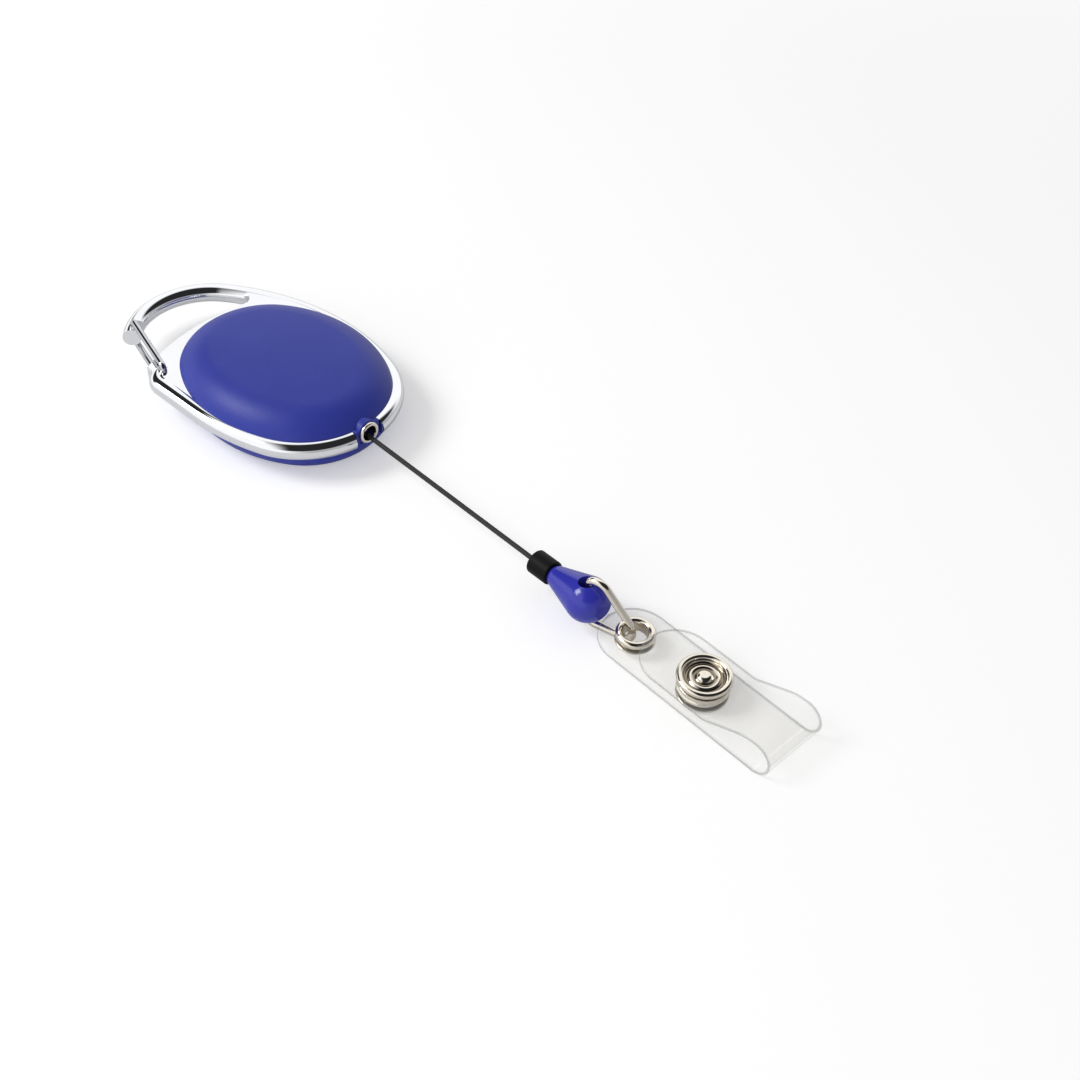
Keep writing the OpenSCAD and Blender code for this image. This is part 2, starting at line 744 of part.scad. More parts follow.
module bead() {
    neck_r = neck_d / 2;
    inner_r = bead_r * cone_in;
    lean = asin(inner_r / norm([bulb_x - bead_x, neck_r])) - atan2(neck_r, bulb_x - bead_x);
    cone_l = bulb_x - inner_r * sin(lean) - bead_x;
    color([0.22, 0.2, 0.6])
        on_chain() difference() {
            union() {
                on_line(bead_x) cylinder(r1 = neck_r, r2 = inner_r * cos(lean), h = cone_l);
                intersection() {
                    on_line(bulb_x) sphere(bead_r);
                    on_line(bead_x) cylinder(r = bead_d, h = bead_l);
                }
            }
            on_line(bead_x - over) cylinder(r = neck_bore_r, h = knot_x - bead_x + over);
            on_line(cord_tip) cylinder(r = pocket_r, h = cross_x - knot_x + knot_r);
            translate([cross_x, 0, pull_z - bead_d]) cylinder(d = cross_d, h = 2 * bead_d);
        }
}

module bead_knot() {
    color([0.1, 0.1, 0.11])
        on_chain() on_cord()
            intersection() {
                translate([knot_x - knot_r, 0]) square([2 * knot_r, knot_r]);
                for (x = [-knot_pinch, knot_pinch])
                    translate([knot_x + x, 0]) circle(knot_r - knot_pinch);
            }
}

module bead_loop() {
    route = [for (p = bend_points(loop_path, loop_radii, bend_steps)) [p.x, p.y, 0]];
    color([0.8, 0.78, 0.74])
        on_chain() translate([loop_x, 0, 0]) rotate([90, 0, loop_turn])
            skin(tube_rings(route, loop_r, loop_sides, true), true);
}

// The strap's own frame: origin under the eyelet's centre, x along the strap
module on_strap() {
    translate([strap_at.x, strap_at.y, eyelet_z]) rotate([0, strap_tilt, strap_turn]) children();
}

// A strip of the strap's thickness along a flat route, as wide as the strap
module strap_strip(route) {
    last = len(route) - 1;
    function edge(i, s) = route[i] + s * strap_t / 2 * [-along(route, i).y, along(route, i).x];
    rotate([90, 0, 0])
        linear_extrude(strap_w, center = true)
            polygon(concat([for (i = [0 : last]) edge(i, -1)],
                           [for (i = [0 : last]) edge(last - i, 1)]));
}

// The outline of a strap layer with a round end at x
module round_end(x, l) {
    translate([x + strap_w / 2, 0]) circle(d = strap_w);
    translate([x + strap_w / 2, -strap_w / 2]) square([l, strap_w]);
}

module strap_hole(x, r) {
    translate([x, 0, -over]) cylinder(r = r, h = 2 * fold_z + fold_r + 2 * over);
}

module strap_base() {
    fold_end = fold_x + fold_r;
    path = [[-strap_w, strap_t / 2], [fold_end, strap_t / 2], [fold_end, fold_z - fold_slit / 2]];
    color([0.92, 0.93, 0.95, 0.4])
        on_strap()
            difference() {
                intersection() {
                    rotate([90, 0, 0])
                        bent(path, [0, fold_r - fold_slit / 2, 0])
                            square([strap_t, strap_w], center = true);
                    translate([0, 0, -over])
                        linear_extrude(2 * fold_z) round_end(-strap_w / 2, 2 * fold_x);
                }
                strap_hole(0, eyelet_bore / 2 + eyelet_wall + fit_gap);
                strap_hole(snap_x, rivet_hole);
            }
}

module strap_flap() {
    top = fold_z + fold_r;
    low = flap_z + strap_t / 2;
    bend_out = [flap_knee_x, top - flap_bend_out];
    bend_in = [flap_flat_x, low + flap_bend_in];
    color([0.92, 0.93, 0.95, 0.4])
        on_strap()
            difference() {
                intersection() {
                    strap_strip(concat(
                        arc_points([fold_x, fold_z], fold_r, asin(fold_slit / 2 / fold_r), 90, fold_steps),
                        arc_points(bend_out, flap_bend_out, 90, 90 + flap_slope, bend_steps),
                        arc_points(bend_in, flap_bend_in, flap_slope - 90, -90, bend_steps),
                        [[flap_x - over, low]]));
                    linear_extrude(top + over) round_end(flap_x, 2 * fold_x);
                }
                strap_hole(snap_x, rivet_hole);
            }
}

module strap_eyelet() {
    bore_r = eyelet_bore / 2;
    roll_x = bore_r + eyelet_roll;
    color([0.8, 0.78, 0.74])
        on_strap()
            rotate_extrude() {
                translate([bore_r, -eyelet_flange_t])
                    square([eyelet_wall, strap_t + eyelet_flange_t + eyelet_roll]);
                translate([bore_r, -eyelet_flange_t]) square([2 * eyelet_roll, eyelet_flange_t]);
                translate([roll_x, strap_t + eyelet_roll]) circle(eyelet_roll);
            }
}

module on_snap(z) {
    on_strap() translate([snap_x, 0, z]) rotate_extrude() children();
}

module snap_post() {
    rivet_l = strap_t + stud_flange_t + stud_h / 2;
    color([0.8, 0.78, 0.74])
        on_snap(-post_t) {
            translate([rivet_r - rivet_wall, 0]) square([rivet_wall, post_t + rivet_l]);
            translate([rivet_r - rivet_wall, 0]) square([snap_r - rivet_r - post_t / 2, post_t]);
            translate([snap_r - rivet_wall - post_t / 2, post_t / 2]) circle(post_t / 2);
        }
}

module snap_stud() {
    waist = 0.25;
    inner = rivet_r + fit_gap;
    color([0.8, 0.78, 0.74])
        on_snap(strap_t) {
            translate([inner, 0]) square([snap_r - 2 * rivet_wall - inner, stud_flange_t]);
            translate([inner, 0]) square([stud_r - waist - inner, stud_flange_t + stud_h]);
            intersection() {
                translate([stud_r - stud_h / 2, stud_flange_t + stud_h / 2]) circle(stud_h / 2);
                translate([inner, 0]) square([stud_r, stud_flange_t + stud_h]);
            }
        }
}

module snap_socket() {
    outer = snap_r - rivet_wall - socket_h / 4;
    cavity_r = stud_r + socket_in;
    color([0.8, 0.78, 0.74])
        on_snap(socket_z) {
            translate([cavity_r, 0]) square([outer - cavity_r, socket_h]);
            translate([rivet_hole, socket_h - socket_roof])
                square([outer - rivet_hole, socket_roof]);
            for (z = [1, 3])
                translate([outer, z * socket_h / 4]) circle(socket_h / 4);
        }
}

module snap_cap() {
    roll_x = snap_r - cap_roll;
    step_r = stud_r + socket_in;
    nipple_r = rivet_r - rivet_wall;
    rivet_l = strap_t + socket_roof;
    color([0.8, 0.78, 0.74])
        on_snap(cap_z)
            difference() {
                union() {
                    square([roll_x, cap_floor]);
                    translate([roll_x, cap_roll]) circle(cap_roll);
                    square([step_r, 2 * cap_floor]);
                    square([nipple_r, cap_roll + cap_floor]);
                    translate([0, -rivet_l]) square([rivet_r, rivet_l + cap_floor]);
                }
                translate([0, 2 * cap_roll + cap_floor / 2]) circle(cap_roll);
                translate([0, -rivet_l - over]) square([nipple_r, rivet_l + over]);
            }
}

front_cover();
back_cover();
chrome_frame();
gate_wire();
exit_eyelet();
spring_arbor();
mainspring();
cord_drum();
drum_lid();
cord_core();
cord_turns();
cord_lead();
free_cord();
stop_ferrule();
bead();
bead_knot();
bead_loop();
strap_base();
strap_eyelet();
snap_stud();
snap_post();
strap_flap();
snap_socket();
snap_cap();
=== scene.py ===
# %% [markdown]
# # A retractable badge reel
# The reel is an oval plastic case held in a polished metal frame that runs out into a hook. A thin
# cord leaves the front of the case and ends in a bead, a wire loop and a clear strap with a snap. A
# spring inside the case winds the cord back in.
#
# The imported CAD part is the fixed frame. Each piece gets a finer surface in the place
# its solid has, and a finish that is made of nodes, so nothing has to be fitted by eye.

import math

import bmesh
import bpy
import numpy as np
from mathutils import Matrix, Vector


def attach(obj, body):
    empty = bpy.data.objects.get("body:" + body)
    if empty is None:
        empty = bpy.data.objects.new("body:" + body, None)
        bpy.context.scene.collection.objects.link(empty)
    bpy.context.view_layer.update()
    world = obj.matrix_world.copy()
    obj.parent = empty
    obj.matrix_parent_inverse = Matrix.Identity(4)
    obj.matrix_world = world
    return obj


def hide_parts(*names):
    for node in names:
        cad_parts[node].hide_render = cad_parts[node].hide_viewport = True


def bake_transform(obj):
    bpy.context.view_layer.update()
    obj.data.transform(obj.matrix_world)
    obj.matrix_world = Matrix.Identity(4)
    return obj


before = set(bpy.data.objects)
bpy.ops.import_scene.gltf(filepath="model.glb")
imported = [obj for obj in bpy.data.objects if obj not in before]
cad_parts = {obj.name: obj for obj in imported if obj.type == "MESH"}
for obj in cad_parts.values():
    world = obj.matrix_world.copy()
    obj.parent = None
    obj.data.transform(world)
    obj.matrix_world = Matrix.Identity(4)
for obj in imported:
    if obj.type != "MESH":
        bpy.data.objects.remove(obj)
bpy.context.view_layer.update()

# %% [markdown]
# ## The camera
# The reel was photographed from above its front right. A camera can be set by eye, but a lens that
# is a little wrong bends every outline a little too. Here its place and lens were solved from the
# outline of the case and from the strap, whose width is known. Lengths are written in millimetres
# throughout, because that is how a reel is drawn, and turned into metres at the last step.

# %% Camera
MM = 0.001
SENSOR_WIDTH = 36


def in_scene(name, data):
    """A new object at the origin, linked to the scene."""
    made = bpy.data.objects.new(name, data)
    bpy.context.scene.collection.objects.link(made)
    return made


def aim(eye, target):
    """The turn that points an object's -Z axis from eye to target."""
    return (Vector(target) - Vector(eye)).to_track_quat("-Z", "Y")


def place_camera(eye, target, lens, roll):
    data = bpy.data.cameras.new("reel_camera")
    data.lens, data.sensor_width = lens, SENSOR_WIDTH
    data.clip_start, data.clip_end = 0.01, 20
    camera = in_scene("reel_camera", data)
    turn = aim(eye, target).to_matrix().to_4x4() @ Matrix.Rotation(math.radians(roll), 4, "Z")
    camera.matrix_world = Matrix.Translation(Vector(eye) * MM) @ turn
    bpy.context.scene.camera = camera
    return camera


camera = place_camera(eye=(224.313, -162.660, 220.690), target=(60.306, 6.845, 0), lens=60.92, roll=0.32)
print("camera at", [round(v, 4) for v in camera.location])

# %% [markdown]
# ## Shader maths
# A finish is a small tree of nodes. A tree can be wired by hand in the Shader Editor, but a sum such
# as 0.4 + 0.1 * grain is easier to read than boxes and wires. So a socket is wrapped in a class that
# turns + - * / into Math nodes, and every other node comes from one method that takes the node's
# type, its settings and what goes into its sockets.


# %% Sums of sockets
class Value:
    """A socket that can stand in a sum."""

    def __init__(self, finish, socket):
        self.finish, self.socket = finish, socket

    def output(self, name):
        """Another output of the node that this value comes from."""
        return Value(self.finish, self.socket.node.outputs[name])

    def math(self, operation, a, b=0.0):
        return self.finish.node("ShaderNodeMath", {"operation": operation}, {0: a, 1: b})

    def __add__(self, other):
        return self.math("ADD", self, other)

    def __sub__(self, other):
        return self.math("SUBTRACT", self, other)

    def __rsub__(self, other):
        return self.math("SUBTRACT", other, self)

    def __mul__(self, other):
        return self.math("MULTIPLY", self, other)

    def __truediv__(self, other):
        return self.math("DIVIDE", self, other)

    def __pow__(self, other):
        return self.math("POWER", self, other)

    __radd__ = __add__
    __rmul__ = __mul__

    def sine(self):
        return self.math("SINE", self)


class Finish:
    """The nodes of one finish: a material or, for the light of the room, a world."""

    def __init__(self, name, kind="materials"):
        self.made = getattr(bpy.data, kind).new(name)
        self.made.use_nodes = True
        self.tree = self.made.node_tree
        self.tree.nodes.clear()

    def node(self, kind, settings=None, sockets=None, out=0):
        """A new node: its settings are made first, then its sockets are filled or linked."""
        made = self.tree.nodes.new(kind)
        for key, value in (settings or {}).items():
            setattr(made, key, value)
        for key, value in (sockets or {}).items():
            if isinstance(value, Value):
                self.tree.links.new(value.socket, made.inputs[key])
            else:
                made.inputs[key].default_value = value
        return Value(self, made.outputs[out]) if made.outputs else None

    def place(self, settings=None, **mapping):
        """The piece's own coordinates, moved, turned or stretched, so that a pattern stays on it."""
        own = self.node("ShaderNodeTexCoord", out="Object")
        return self.node("ShaderNodeMapping", settings, {"Vector": own, **mapping})

    def noise(self, size_mm, detail, stretch=(1, 1, 1)):
        """Noise whose grains are about size_mm across."""
        sockets = {"Vector": self.place(Scale=stretch), "Scale": 1 / (size_mm * MM), "Detail": detail}
        return self.node("ShaderNodeTexNoise", None, sockets)

    def between(self, amount, low, high):
        """A colour that goes from low to high; each is a colour or a value."""
        low, high = (c if isinstance(c, Value) else (*c, 1) for c in (low, high))
        return self.node("ShaderNodeMix", {"data_type": "RGBA"}, {0: amount, 6: low, 7: high}, out=2)

    def rise(self, value, start, stop):
        """0 below start, 1 above stop, and a smooth climb between."""
        sockets = {"Value": value, "From Min": start, "From Max": stop}
        return self.node("ShaderNodeMapRange", {"interpolation_type": "SMOOTHSTEP"}, sockets)

    def bump(self, height, depth_mm, strength):
        sockets = {"Height": height, "Distance": depth_mm * MM, "Strength": strength}
        return self.node("ShaderNodeBump", None, sockets)

    def principled(self, **sockets):
        """A Principled BSDF; the name Base_Color stands for its socket Base Color."""
        named = {key.replace("_", " "): value for key, value in sockets.items()}
        return self.node("ShaderNodeBsdfPrincipled", None, named)

    def show(self, surface):
        """Ends the tree and gives the material or world that it belongs to."""
        kind = "World" if isinstance(self.made, bpy.types.World) else "Material"
        self.node("ShaderNodeOutput" + kind, None, {"Surface": surface})
        return self.made


def linear(red, green, blue):
    """A colour as a picture writes it, 0 to 255, as the light values that Blender works in."""
    shares = (c / 255 for c in (red, green, blue))
    return tuple(c / 12.92 if c <= 0.04045 else ((c + 0.055) / 1.055) ** 2.4 for c in shares)


print("mid grey in light values:", [round(c, 3) for c in linear(128, 128, 128)])

# %% [markdown]
# ## Plastics
# The covers have a soft-touch moulded skin: satin, with a fine grain that breaks up the highlight.
# The bead is the same blue left glossy. The stop collar is black rubber, and the drum inside is plain
# white acetal, which needs no oil. An image could give the grain, but noise has no seam, no stretch
# and no smallest size. Each finish is one function, so it can be changed in one place.


# %% Plastics
def soft_touch_blue():
    finish = Finish("soft_touch_blue")
    cloud, grain = finish.noise(9, 2), finish.noise(0.4, 4)
    colour = finish.between(cloud, linear(42, 54, 156), linear(50, 63, 168))
    return finish.show(finish.principled(
        Base_Color=colour, Roughness=0.38 + 0.10 * grain, Specular_IOR_Level=0.36,
        Normal=finish.bump(grain, 0.06, 0.6)))


def glossy_blue():
    finish = Finish("glossy_blue")
    cloud, ripple = finish.noise(3, 2), finish.noise(1.5, 2)
    colour = finish.between(cloud, linear(50, 52, 172), linear(58, 60, 184))
    return finish.show(finish.principled(
        Base_Color=colour, Roughness=0.12 + 0.08 * cloud, Normal=finish.bump(ripple, 0.02, 0.12)))


def black_rubber():
    finish = Finish("black_rubber")
    cloud, grain = finish.noise(1.2, 2), finish.noise(0.12, 4)
    colour = finish.between(cloud, linear(6, 6, 7), linear(14, 13, 15))
    return finish.show(finish.principled(
        Base_Color=colour, Roughness=0.42 + 0.15 * grain, Specular_IOR_Level=0.12,
        Normal=finish.bump(grain, 0.02, 0.3)))


def natural_acetal():
    finish = Finish("natural_acetal")
    cloud = finish.noise(4, 2)
    colour = finish.between(cloud, linear(212, 210, 202), linear(226, 224, 216))
    return finish.show(finish.principled(Base_Color=colour, Roughness=0.36 + 0.1 * cloud))


case_blue, bead_blue = soft_touch_blue(), glossy_blue()
rubber, acetal = black_rubber(), natural_acetal()
print("plastics:", [m.name for m in (case_blue, bead_blue, rubber, acetal)])

# %% [markdown]
# ## Metals
# The frame is chrome plated and the gate is bright wire. Both are nearly all reflection, so their
# only detail is a faint change of polish. The small fittings are nickel, which is warmer, and which
# is darkened by painted shade in the channels of the snap's cap. The spring and its axle carry fine
# lines along the way they were rolled. One function for plated and one for rolled metal serve all.


# %% Metals
def polished(name, dark, bright, rough, spread, smudge_mm, painted_shade_colour=None):
    """A plated metal: nearly a mirror, with faint smudges, and painted shade where a mesh marks it."""
    finish = Finish(name)
    smudge = finish.noise(smudge_mm, 3)
    colour = finish.between(smudge, dark, bright)
    if painted_shade_colour:
        # The mesh's mark darkens the colour towards the given dark: painted shade.
        painted_shade = finish.node("ShaderNodeAttribute", {"attribute_name": "painted_shade"}, out="Fac")
        colour = finish.between(painted_shade, colour, painted_shade_colour)
    return finish.show(finish.principled(
        Base_Color=colour, Metallic=1.0, Roughness=rough + spread * smudge))


def rolled_strip(name, dark, bright):
    """Steel with fine lines along the way it was rolled."""
    finish = Finish(name)
    lines = finish.noise(0.3, 3, stretch=(0.15, 0.15, 4))
    return finish.show(finish.principled(
        Base_Color=finish.between(lines, dark, bright), Metallic=1.0, Roughness=0.26 + 0.14 * lines,
        Normal=finish.bump(lines, 0.01, 0.3)))


chrome = polished("mirror_chrome", (0.80, 0.81, 0.83), (0.86, 0.87, 0.89), 0.02, 0.04, 6)
bright_wire = polished("bright_wire", (0.48, 0.49, 0.51), (0.62, 0.63, 0.65), 0.06, 0.08, 1.5)
# The nickel's dark colour is painted shade, for the channels of the snap's cap.
nickel = polished(
    "warm_nickel", (0.74, 0.68, 0.58), (0.84, 0.79, 0.70), 0.07, 0.09, 1.2, painted_shade_colour=(0.22, 0.18, 0.13))
blued_strip = rolled_strip("blued_strip", (0.20, 0.23, 0.30), (0.30, 0.34, 0.42))
turned_steel = rolled_strip("turned_steel", (0.45, 0.45, 0.46), (0.60, 0.60, 0.61))
print("metals:", [m.name for m in (chrome, bright_wire, nickel, blued_strip, turned_steel)])

# %% [markdown]
# ## Paths
# Wire and cord are bent, not mitred, and a moulded or pressed edge is never quite sharp. So a shape
# starts as a few corner points, and each corner is then bent to its own radius. A Bezier curve could
# do it, but its handles give no true arc, and the frame's arcs have to match the solid's.


# %% Rounded paths
def unit(way):
    return way / np.linalg.norm(way)


def rounded(path, radii, steps=8, closed=False):
    """Bends each corner of a path to its own radius."""
    path = [np.array(p, float) for p in path]
    count, out = len(path), []
    for i, (p, r) in enumerate(zip(path, radii)):
        if not closed and i in (0, count - 1):
            out.append(p)
            continue
        before, after = unit(path[i - 1] - p), unit(path[(i + 1) % count] - p)
        half = math.acos(np.clip(before @ after, -1, 1)) / 2
        centre = p + unit(before + after) * r / math.sin(half)
        first, last = (p + way * r / math.tan(half) - centre for way in (before, after))
        sweep = math.pi - 2 * half
        for t in np.linspace(0, 1, steps + 1):
            bend = math.sin((1 - t) * sweep) * first + math.sin(t * sweep) * last
            out.append(centre + bend / math.sin(sweep))
    return np.array(out)


def arc(centre, radius, start, stop, steps):
    """Points round part of a circle, angles in degrees."""
    angles = np.radians(np.linspace(start, stop, steps + 1))
    return np.column_stack([centre[0] + radius * np.cos(angles), centre[1] + radius * np.sin(angles)])


def spaced(path, least=0.01):
    """A path without points that are closer than least."""
    keep = [path[0]]
    for p in path[1:]:
        if np.linalg.norm(p - keep[-1]) > least:
            keep.append(p)
    return np.array(keep)


def length_of(path):
    return float(np.linalg.norm(np.diff(path, axis=0), axis=1).sum())


square = rounded([(0, 0), (9, 0), (9, 9), (0, 9)], [2] * 4, closed=True)
print("a square with bent corners:", len(square), "points,", round(length_of(square), 1), "mm")

# %% [markdown]
# ## Tubes
# A cord, a bent wire and the frame's round band are all one thing to a modeller: a circle carried
# along a path. A curve's own bevel would do it too, but a Geometry Nodes tree has named sizes and can
# be used again. One tree, with a radius, a number of sides and a finish, serves them all. Its result
# is turned into a plain mesh at once, so nothing live is left on the piece.


# %% Growing a mesh with nodes
def growing_tree(name, sizes):
    """A tree with named inputs that ends by making all real and giving it a finish.

    Returns the tree, its inputs by name and the socket that takes what it grows."""
    tree = bpy.data.node_groups.new(name, "GeometryNodeTree")
    for label, kind in {"Geometry": "Geometry", **sizes, "Finish": "Material"}.items():
        tree.interface.new_socket(label, in_out="INPUT", socket_type="NodeSocket" + kind)
    tree.interface.new_socket("Geometry", in_out="OUTPUT", socket_type="NodeSocketGeometry")
    given = tree.nodes.new("NodeGroupInput").outputs
    real = tree.nodes.new("GeometryNodeRealizeInstances")
    paint = tree.nodes.new("GeometryNodeSetMaterial")
    end = tree.nodes.new("NodeGroupOutput")
    tree.links.new(real.outputs["Geometry"], paint.inputs["Geometry"])
    tree.links.new(given["Finish"], paint.inputs["Material"])
    tree.links.new(paint.outputs["Geometry"], end.inputs["Geometry"])
    return tree, given, real.inputs["Geometry"]


def plain_mesh(source, name):
    """The evaluated shape of an object as a mesh of its own; the object is removed."""
    bpy.context.view_layer.update()
    mesh = bpy.data.meshes.new_from_object(source.evaluated_get(bpy.context.evaluated_depsgraph_get()))
    mesh.name = name
    bpy.data.objects.remove(source)
    return mesh


def grown(name, data, tree, sizes):
    """Runs a tree on a curve or on points, with its inputs set by their identifiers."""
    source = in_scene(name + "_source", data)
    grow = source.modifiers.new("grow", "NODES")
    grow.node_group = tree
    for socket in tree.interface.items_tree:
        if socket.in_out == "INPUT" and socket.name in sizes:
            grow[socket.identifier] = sizes[socket.name]
    return plain_mesh(source, name)


print("mesh growing ready")


# %% The tree that carries a circle along a path
def tube_tree():
    tree, given, result = growing_tree("tube_along_path", {"Radius": "Float", "Sides": "Int"})
    circle = tree.nodes.new("GeometryNodeCurvePrimitiveCircle")
    sweep = tree.nodes.new("GeometryNodeCurveToMesh")
    smooth = tree.nodes.new("GeometryNodeSetShadeSmooth")
    sweep.inputs["Fill Caps"].default_value = True
    tree.links.new(given["Sides"], circle.inputs["Resolution"])
    tree.links.new(given["Radius"], circle.inputs["Radius"])
    tree.links.new(given["Geometry"], sweep.inputs["Curve"])
    tree.links.new(circle.outputs["Curve"], sweep.inputs["Profile Curve"])
    tree.links.new(sweep.outputs["Mesh"], smooth.inputs["Geometry"])
    tree.links.new(smooth.outputs["Geometry"], result)
    return tree


TUBES = tube_tree()


def tube_mesh(name, path, radius, sides, material, closed=False):
    """A tube along a path in mm, as a mesh in metres."""
    line = bpy.data.curves.new(name + "_path", "CURVE")
    line.dimensions = "3D"
    spline = line.splines.new("POLY")
    spline.points.add(len(path) - 1)
    spline.points.foreach_set("co", np.column_stack([np.array(path) * MM, np.ones(len(path))]).ravel())
    spline.use_cyclic_u = closed
    return grown(name, line, TUBES, {"Radius": radius * MM, "Sides": sides, "Finish": material})


print("tube inputs:", [s.name for s in TUBES.interface.items_tree if s.in_out == "INPUT"])

# %% [markdown]
# ## Finished pieces
# However a mesh was made, it is put right in the same way: doubled points are joined, faces are turned
# outwards, and edges that bend by more than a given angle stay hard. Then it takes its finish, goes on
# the body that moves it and takes the place of its CAD node. One function does this for every piece,
# so that none is forgotten.

# %% Putting a piece right
MERGE, TUBE_EDGE = 1e-7, 60


def smoothed(mesh, sharp):
    """Shades a mesh smooth, apart from edges that bend by more than sharp degrees."""
    mesh.polygons.foreach_set("use_smooth", [True] * len(mesh.polygons))
    mesh.set_sharp_from_angle(angle=math.radians(sharp))
    return mesh


def tidy(mesh, sharp):
    """Joins doubled points, points the faces outwards and keeps hard edges hard."""
    work = bmesh.new()
    work.from_mesh(mesh)
    bmesh.ops.remove_doubles(work, verts=work.verts, dist=MERGE)
    bmesh.ops.recalc_face_normals(work, faces=work.faces)
    work.to_mesh(mesh)
    work.free()
    return smoothed(mesh, sharp)


def add_piece(name, mesh, body, nodes, material):
    """Puts a finished mesh in the scene, on its body, in the place of its CAD nodes."""
    mesh.materials.clear()
    mesh.materials.append(material)
    made = in_scene(name, mesh)
    if body:
        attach(made, body)
    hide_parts(*nodes)
    print(f"{name}: {len(mesh.polygons)} faces")
    return made


def tube_piece(name, path, radius, sides, body, node, material, closed=False):
    mesh = tidy(tube_mesh(name, path, radius, sides, material, closed), TUBE_EDGE)
    return add_piece(name, mesh, body, [node], material)


def metres(point):
    return tuple(np.array(point, float) * MM)


# %% [markdown]
# ## The cord's finish
# The cord is braided nylon, 0.9 mm thick. A braid is two sets of strands that wind opposite ways, so
# the finish multiplies two sine waves that climb round the cord: where both are high, a strand lies on
# top. Real strands would take thousands of faces for something that is seen as a sheen. The
# coordinates are turned to the cord's own line first, so that the waves run along it.

# %% Cord finish
CORD_D, PULL_Z = 0.9, 5.6
CHAIN_TURN = math.radians(-2.2)
LEAD = [
    (5.9, -9.9, 5.6), (8.9, -8, 5.7), (11.9, -6.1, 5.8), (14.9, -4.2, 5.9), (17.9, -2.2, 6.1),
    (19.4, -1, 6.25), (20.6, -0.3, 6.35), (21.4, -0.1, 6.35), (22.2, 0, 6.3), (23, 0, 6.3)]
EXIT = LEAD[-1]
FERRULE_X, FERRULE_L = 67.5, 4.5
STRANDS, BRAID_PITCH = 4, 1.1


def chain(x, z=PULL_Z):
    """A point on the line that the cord pulls along, x measured from the drum's axis."""
    run = x - EXIT[0]
    return (EXIT[0] + run * math.cos(CHAIN_TURN), EXIT[1] + run * math.sin(CHAIN_TURN), z)


def braided_nylon():
    finish = Finish("braided_nylon")
    start, stop = np.array(EXIT), np.array(chain(FERRULE_X))
    pitch = math.atan2(stop[2] - start[2], np.linalg.norm(stop[:2] - start[:2]))
    turned = finish.place(
        {"vector_type": "TEXTURE"}, Location=metres(start), Rotation=(0, -pitch, CHAIN_TURN))
    along = finish.node("ShaderNodeSeparateXYZ", None, {0: turned})
    side, up = along.output("Y"), along.output("Z")
    angle = side.math("ARCTAN2", up, side)
    wind = along * (2 * math.pi / (BRAID_PITCH * MM))
    weave = (STRANDS * angle + wind).sine() * (STRANDS * angle - wind).sine()
    height = weave * 0.5 + 0.5
    # The colour is darker where the weave is low: painted shade between the strands.
    return finish.show(finish.principled(
        Base_Color=finish.between(height, linear(12, 12, 13), linear(44, 43, 45)),
        Roughness=0.75 - 0.2 * height, Normal=finish.bump(height, 0.05, 0.6)))


cord_finish = braided_nylon()
print("cord finish:", cord_finish.name)

# %% [markdown]
# ## The free cord
# The spring keeps the cord taut, so its free stretch is straight, from the exit to the knot inside the
# bead. A cord that hangs could be simulated; a taut one needs only its two ends. It has many short
# steps all the same.

# %% Free cord
KNOT_X, CORD_STEP, CORD_SIDES = 77.82, 0.7, 16
BLEND_START, BLEND_STOP = (24.0, 0, 6.3), chain(66.5)


def straight(start, stop):
    count = max(2, math.ceil(np.linalg.norm(np.array(stop) - np.array(start)) / CORD_STEP))
    return np.linspace(start, stop, count + 1)


at_ferrule = chain(FERRULE_X)
free_path = spaced(np.vstack([straight(EXIT, at_ferrule), straight(at_ferrule, chain(KNOT_X))]))
pull_cord = tube_piece(
    "pull_cord", free_path, CORD_D / 2, CORD_SIDES, None, "free_cord", cord_finish)
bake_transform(pull_cord)

# %% [markdown]
# ## The cord inside
# The rest of the cord is wound on the drum, in an inner layer and an open outer one, and a short lead
# takes it from there to the exit. A coil could come from the Screw modifier, but the same tube tree
# serves again once the points of the coil are worked out. The closed case hides all of it.

# %% Cord on the drum
TURN_R, TURN_PITCH, TURNS = 11.5, 1.35, 1.7
INNER_R, INNER_TURNS, INNER_LOW, INNER_RISE = 10.45, 4.4, 3.4, 4.4


def coil(radius, start, turns, low, rise, steps):
    """Points up a coil that begins at the angle start."""
    share = np.linspace(0, 1, steps)
    angles = start + 2 * math.pi * turns * share
    return np.column_stack([radius * np.cos(angles), radius * np.sin(angles), low + rise * share])


lead_angle = math.atan2(LEAD[0][1], LEAD[0][0])
outer_rise = TURN_PITCH * TURNS
outer = coil(TURN_R, lead_angle - 2 * math.pi * TURNS, TURNS, PULL_Z - outer_rise, outer_rise, 122)
inner = coil(INNER_R, 0, INNER_TURNS, INNER_LOW, INNER_RISE, 288)
tube_piece("wound_turns", outer, CORD_D / 2, 12, "drum", "cord_turns", cord_finish)
tube_piece("inner_turns", inner, CORD_D / 2, 10, "drum", "cord_core", cord_finish)
tube_piece("lead", LEAD, CORD_D / 2, CORD_SIDES, "housing", "cord_lead", cord_finish)

# %% [markdown]
# ## Turned pieces
# Eyelets, the collar, the bead and the snap are all round about an axis, so each is a profile turned
# through a full circle. Blender's Screw modifier does this too; working out the points keeps the
# profile in plain numbers, as a lathe drawing has it. Its corners are rounded a little, because an
# edge with no radius catches no light and looks drawn.

# %% Turning a profile
TURNED_EDGE = 40


def skin(name, rings, capped):
    """A skin over rings of points in mm: capped at both ends, or run round to the first ring again."""
    count, rows = len(rings[0]), len(rings)
    faces = []
    for i in range(rows - 1 if capped else rows):
        here, there = i * count, (i + 1) % rows * count
        for j, k in ((j, (j + 1) % count) for j in range(count)):
            faces.append((here + j, here + k, there + k, there + j))
    if capped:
        faces += [tuple(range(count))[::-1], tuple(range((rows - 1) * count, rows * count))]
    mesh = bpy.data.meshes.new(name)
    mesh.from_pydata(np.vstack(rings) * MM, [], faces)
    return mesh


